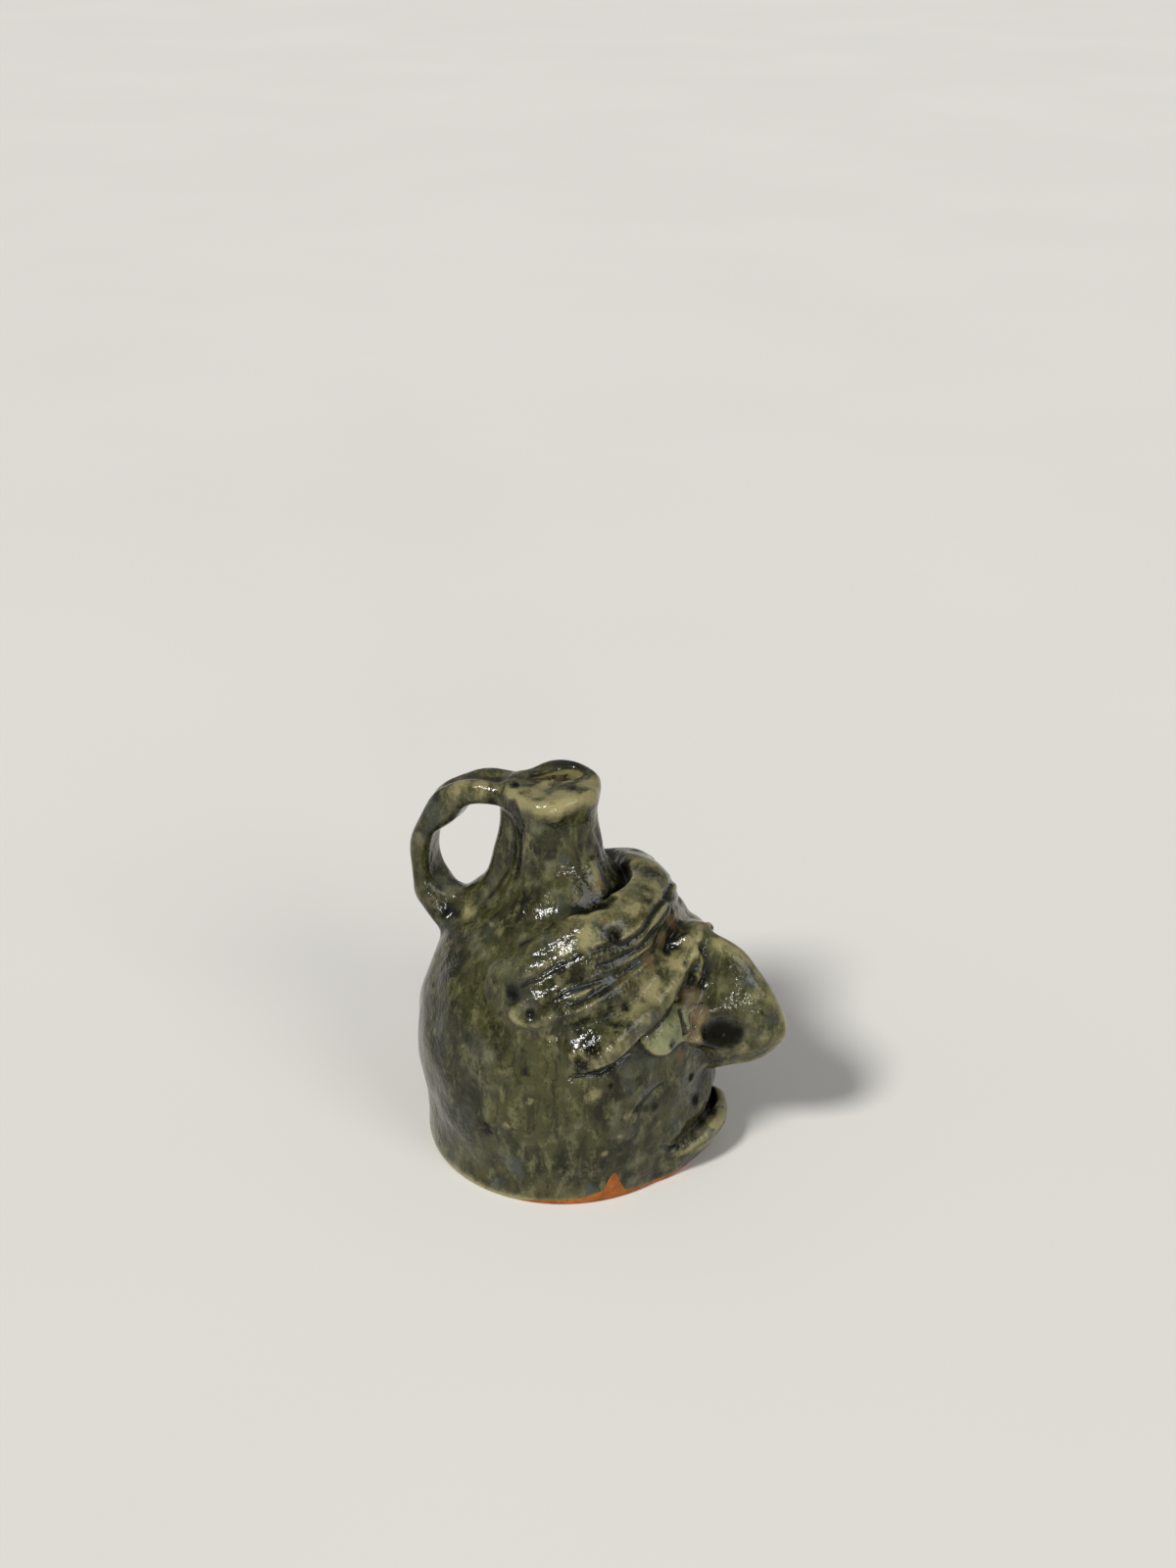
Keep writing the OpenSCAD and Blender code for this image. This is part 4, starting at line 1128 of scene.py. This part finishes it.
class Nodes:
    """A material, with short words for its nodes. Scales are per metre."""

    def __init__(self, name):
        self.mat = bpy.data.materials.new(name)
        self.mat.use_nodes = True
        self.tree = self.mat.node_tree
        self.shader = self.tree.nodes["Principled BSDF"]
        self.coord = self.tree.nodes.new("ShaderNodeTexCoord").outputs["Object"]

    def put(self, socket, value):
        if hasattr(value, "is_linked"):
            self.tree.links.new(value, socket)
        else:
            socket.default_value = value

    def node(self, kind, **values):
        """A node with its sockets filled; a name of two words is written with an underscore."""
        n = self.tree.nodes.new("ShaderNode" + kind)
        for name, value in values.items():
            self.put(n.inputs[name.replace("_", " ")], value)
        return n

    def shade(self, name, value):
        self.put(self.shader.inputs[name], value)

    def math(self, op, a, b=0.0):
        n = self.node("Math")
        n.operation = op
        self.put(n.inputs[0], a)
        self.put(n.inputs[1], b)
        return n.outputs[0]

    def times(self, a, b):
        return self.math("MULTIPLY", a, b)

    def plus(self, a, b):
        return self.math("ADD", a, b)

    def noise(self, scale, detail=3.0, rough=0.55, tall=1, warp=0.0, seed=0.0):
        """Noise, with its streaks upright where tall is under 1."""
        at = self.node("Mapping", Vector=self.coord, Location=(seed, seed * 0.7, -seed), Scale=(1, 1, tall))
        n = self.node("TexNoise", Vector=at.outputs[0], Scale=scale, Detail=detail)
        n.inputs["Roughness"].default_value, n.inputs["Distortion"].default_value = rough, warp
        return n.outputs["Fac"]

    def ramp(self, fac, low, high):
        """0 below low, 1 above high, smooth between."""
        n = self.node("MapRange")
        n.interpolation_type = "SMOOTHSTEP"
        for name, value in (("Value", fac), ("From Min", low), ("From Max", high)):
            self.put(n.inputs[name], value)
        return n.outputs["Result"]

    def fall(self, fac, low, high):
        """1 below low, 0 above high, smooth between."""
        return self.math("SUBTRACT", 1.0, self.ramp(fac, low, high))

    def attribute(self, name):
        n = self.node("Attribute")
        n.attribute_name = name
        return n.outputs["Fac"]

    def cells(self, scale, smooth, push, push_scale):
        """Distance from the middles of soft cells, their places pushed about by a noise, in metres."""
        noise = self.node("TexNoise", Vector=self.coord, Scale=push_scale)
        moved = self.node("VectorMath")
        moved.operation = "MULTIPLY_ADD"
        for socket, value in zip(moved.inputs, (noise.outputs["Color"], (push,) * 3, self.coord)):
            self.put(socket, value)
        cells = self.node("TexVoronoi")
        cells.feature = "SMOOTH_F1"
        for name, value in (("Vector", moved.outputs[0]), ("Scale", scale), ("Smoothness", smooth)):
            self.put(cells.inputs[name], value)
        return cells.outputs["Distance"]

    def blend(self, fac, a, b):
        n = self.tree.nodes.new("ShaderNodeMix")
        n.data_type = "RGBA"
        self.put(n.inputs["Factor"], fac)
        for socket, v in ((n.inputs[6], a), (n.inputs[7], b)):
            self.put(socket, v if hasattr(v, "is_linked") else (*v, 1))
        return n.outputs[2]

    def over(self, base, mask, most, colour):
        """A colour laid over base where mask is 1, as strongly as most says."""
        return self.blend(self.times(mask, most), base, srgb(*colour))

    def bump(self, height, strength, distance):
        n = self.node("Bump", Height=height, Strength=strength, Distance=distance)
        self.shade("Normal", n.outputs[0])


# Colours, as they are seen
DARK, MID_TONE, LIGHT, RIDGE = (17, 18, 5), (62, 60, 32), (99, 97, 64), (124, 118, 77)
RUN, VEIN, MILKY, BLUISH, WORN = (24, 25, 8), (30, 31, 14), (116, 114, 90), (62, 68, 60), (150, 141, 100)
# The last of these is a painted highlight: pale sparkles laid on the ridges
HOLLOW, GROOVE, SPECK, PAINTED_GLINT = (28, 27, 9), (14, 18, 17), (22, 22, 9), (172, 168, 134)
CLAY_TONES, CLAY_GRIT = ((158, 88, 30), (128, 70, 24)), (80, 48, 22)
# The pale tone is pale glaze and painted highlights; the near black one is pooled glaze and painted shade
PAINT_TONES = {"pale_glaze_and_highlight": ((148, 139, 96), 0.75), "blue": ((56, 66, 66), 0.7),
               "warm": ((96, 76, 50), 0.75), "pool_and_shade": ((9, 9, 2), 0.98)}
EYE_TONES, EYE_LIGHT, EYE_RIDGE = ((86, 91, 58), (118, 121, 84)), (138, 141, 104), (146, 147, 106)
EYE_GRAIN = 0.6


def mottled(m, tones, light, grain):
    """The glaze's own pattern: clouds, mottle, runs, veins, milky dots and a bluish bloom."""
    cloud = m.ramp(m.noise(75, 6, 0.62, tall=0.6, warp=0.6, seed=3.1), 0.36, 0.60)
    base = m.blend(cloud, srgb(*tones[0]), srgb(*tones[1]))
    mottle = m.ramp(m.noise(300, 6, 0.7, tall=0.5, warp=0.3, seed=1.7), 0.47, 0.67)
    base = m.over(base, mottle, 0.85 * grain, light)
    runs = m.ramp(m.noise(240, 6, 0.66, tall=0.3, warp=0.5, seed=5.7), 0.48, 0.66)
    base = m.over(base, runs, 0.7 * grain, RUN)
    veins = m.ramp(m.noise(520, 4, 0.6, tall=0.5, warp=0.6, seed=15.2), 0.56, 0.66)
    base = m.over(base, veins, 0.75 * grain, VEIN)
    dots = m.fall(m.cells(170, 0.7, 0.006, 260), 0.05, 0.55)
    dots = m.times(dots, m.ramp(m.noise(60, 2, 0.5, seed=1.3), 0.42, 0.60))
    base = m.over(base, dots, 0.5 * grain, MILKY)
    blue = m.ramp(m.noise(95, 3, 0.55, tall=0.4, warp=0.4, seed=7.9), 0.55, 0.70)
    return m.over(base, blue, 0.5 * grain, BLUISH)


def worn_and_pooled(m, base, ridge):
    """Paler where the glaze runs thin on ridges and edges, darker where it lies in grooves."""
    fine, broad = m.attribute("fine"), m.attribute("broad")
    rub = m.noise(300, 3, 0.6, seed=4.0)
    base = m.over(base, m.ramp(m.plus(broad, m.times(rub, 0.9)), 0.75, 1.5), 0.75, ridge)
    base = m.over(base, m.ramp(m.plus(fine, rub), 0.95, 1.6), 0.6, WORN)
    base = m.over(base, m.fall(broad, -1.1, -0.15), 0.85, HOLLOW)
    return m.over(base, m.fall(fine, -1.0, -0.25), 0.85, GROOVE)


def marked(m, base):
    """The painted places with ragged edges, some of them painted shade and painted highlights, then dark
    specks and painted glints, small highlights on the ridges.
    """
    patch = m.times(m.math("SUBTRACT", m.noise(230, 6, 0.68, seed=12.0), 0.5), 1.9)
    for key, (colour, most) in PAINT_TONES.items():
        base = m.over(base, m.ramp(m.plus(m.attribute(key), patch), 0.12, 0.75), most, colour)
    base = m.over(base, m.ramp(m.noise(1500, 3, 0.6, seed=8.2), 0.58, 0.68), 0.16, SPECK)
    # Painted glints: small highlights laid on the convex places
    painted_glints = m.ramp(m.noise(1900, 2, 0.6, seed=11.4), 0.60, 0.70)
    return m.over(base, m.times(painted_glints, m.ramp(m.attribute("broad"), -0.2, 0.9)), 0.28, PAINTED_GLINT)


def bare_clay(m):
    """The foot's clay, with grit in it, and where it shows."""
    raw = m.blend(m.ramp(m.noise(260, 4), 0.35, 0.65), *(srgb(*c) for c in CLAY_TONES))
    raw = m.blend(m.ramp(m.noise(1500, 2, seed=2), 0.62, 0.7), raw, srgb(*CLAY_GRIT))
    ragged = m.times(m.noise(500, 2, seed=6.0), 0.5)
    return raw, m.ramp(m.plus(m.attribute("bared"), ragged), 0.65, 0.8)


def glaze(name, tones=(DARK, MID_TONE), light=LIGHT, ridge=RIDGE, grain=1.0):
    m = Nodes(name)
    base = marked(m, worn_and_pooled(m, mottled(m, tones, light, grain), ridge))
    raw, bare = bare_clay(m)
    m.shade("Base Color", m.blend(bare, base, raw))
    gloss = m.plus(0.05, m.times(m.noise(500, 2, seed=2.2), 0.16))
    dull = m.times(m.ramp(m.attribute("warm"), 0.2, 0.8), 0.22)
    m.shade("Roughness", m.plus(m.plus(gloss, dull), m.times(bare, 0.55)))
    dim = m.times(m.ramp(m.attribute("pool_and_shade"), 0.2, 0.9), 0.2)
    m.shade("Specular IOR Level", m.math("SUBTRACT", 0.3, dim))
    ripples = m.times(m.noise(230, 2, seed=6.6), 4.0)
    m.bump(m.plus(m.noise(1000, 2, 0.5, seed=4.4), ripples), 0.55, 0.00025)
    return m.mat


body = glaze("glaze")
eye = glaze("eye_glaze", EYE_TONES, EYE_LIGHT, EYE_RIDGE, EYE_GRAIN)
foot = glaze("foot_glaze")
LOOKS = {"eye_right": (eye, "eye_glaze"), "eye_left": (eye, "eye_glaze"), "foot_slab": (foot, "bare_clay")}
for name, piece in pieces.items():
    mat, slot = LOOKS.get(name, (body, "olive_glaze"))
    piece.data.materials.append(mat)
    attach(piece, "root")
    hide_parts(name)

# Floor, light and camera

FLOOR_HALF = 12.0
FLOOR_TONES = (224, 221, 213), (227, 224, 216)
SKY_TONE, SKY_POWER = (0.93, 0.95, 1.0, 1), 0.26
# Where each sun stands, its size in degrees and its power
SUNS = {
    "key": ((-0.30, -0.60, 0.70), 12, 2.55),
    "fill": ((0.75, -0.45, 0.5), 30, 0.8),
    "window": ((0.46, -0.88, 0.06), 6, 0.5),
}

floor_mesh = bpy.data.meshes.new("floor")
corners = [(x * FLOOR_HALF, y * FLOOR_HALF, 0) for x, y in ((-1, -1), (1, -1), (1, 1), (-1, 1))]
floor_mesh.from_pydata(corners, [], [(0, 1, 2, 3)])
floor = added("floor", floor_mesh)
m = Nodes("floor")
m.shade("Base Color", m.blend(m.ramp(m.noise(3, 2), 0.2, 0.8), *(srgb(*c) for c in FLOOR_TONES)))
m.shade("Roughness", 0.9)
floor.data.materials.append(m.mat)

world = bpy.data.worlds.new("studio")
bpy.context.scene.world = world
world.use_nodes = True
world.node_tree.nodes["Background"].inputs[0].default_value = SKY_TONE
world.node_tree.nodes["Background"].inputs[1].default_value = SKY_POWER


def sun(name, place, angle, power):
    data = bpy.data.lights.new(name, "SUN")
    data.angle, data.energy = math.radians(angle), power
    obj = added(name, data)
    obj.location = place
    obj.rotation_euler = (-Vector(place)).to_track_quat("-Z", "Y").to_euler()


for name, how in SUNS.items():
    sun(name, *how)

camera = bpy.data.cameras.new("camera")
camera.lens = F_PX / FRAME_H * SENSOR
camera.sensor_width = SENSOR
camera.clip_start = 0.01
basis = Matrix((RIGHT, UP, -LOOK)).transposed()
bpy.context.scene.camera = added("camera", camera)
bpy.context.scene.camera.matrix_world = Matrix.Translation(Vector(CAM * 0.001)) @ basis.to_4x4()
bpy.context.scene.view_settings.view_transform = "Standard"
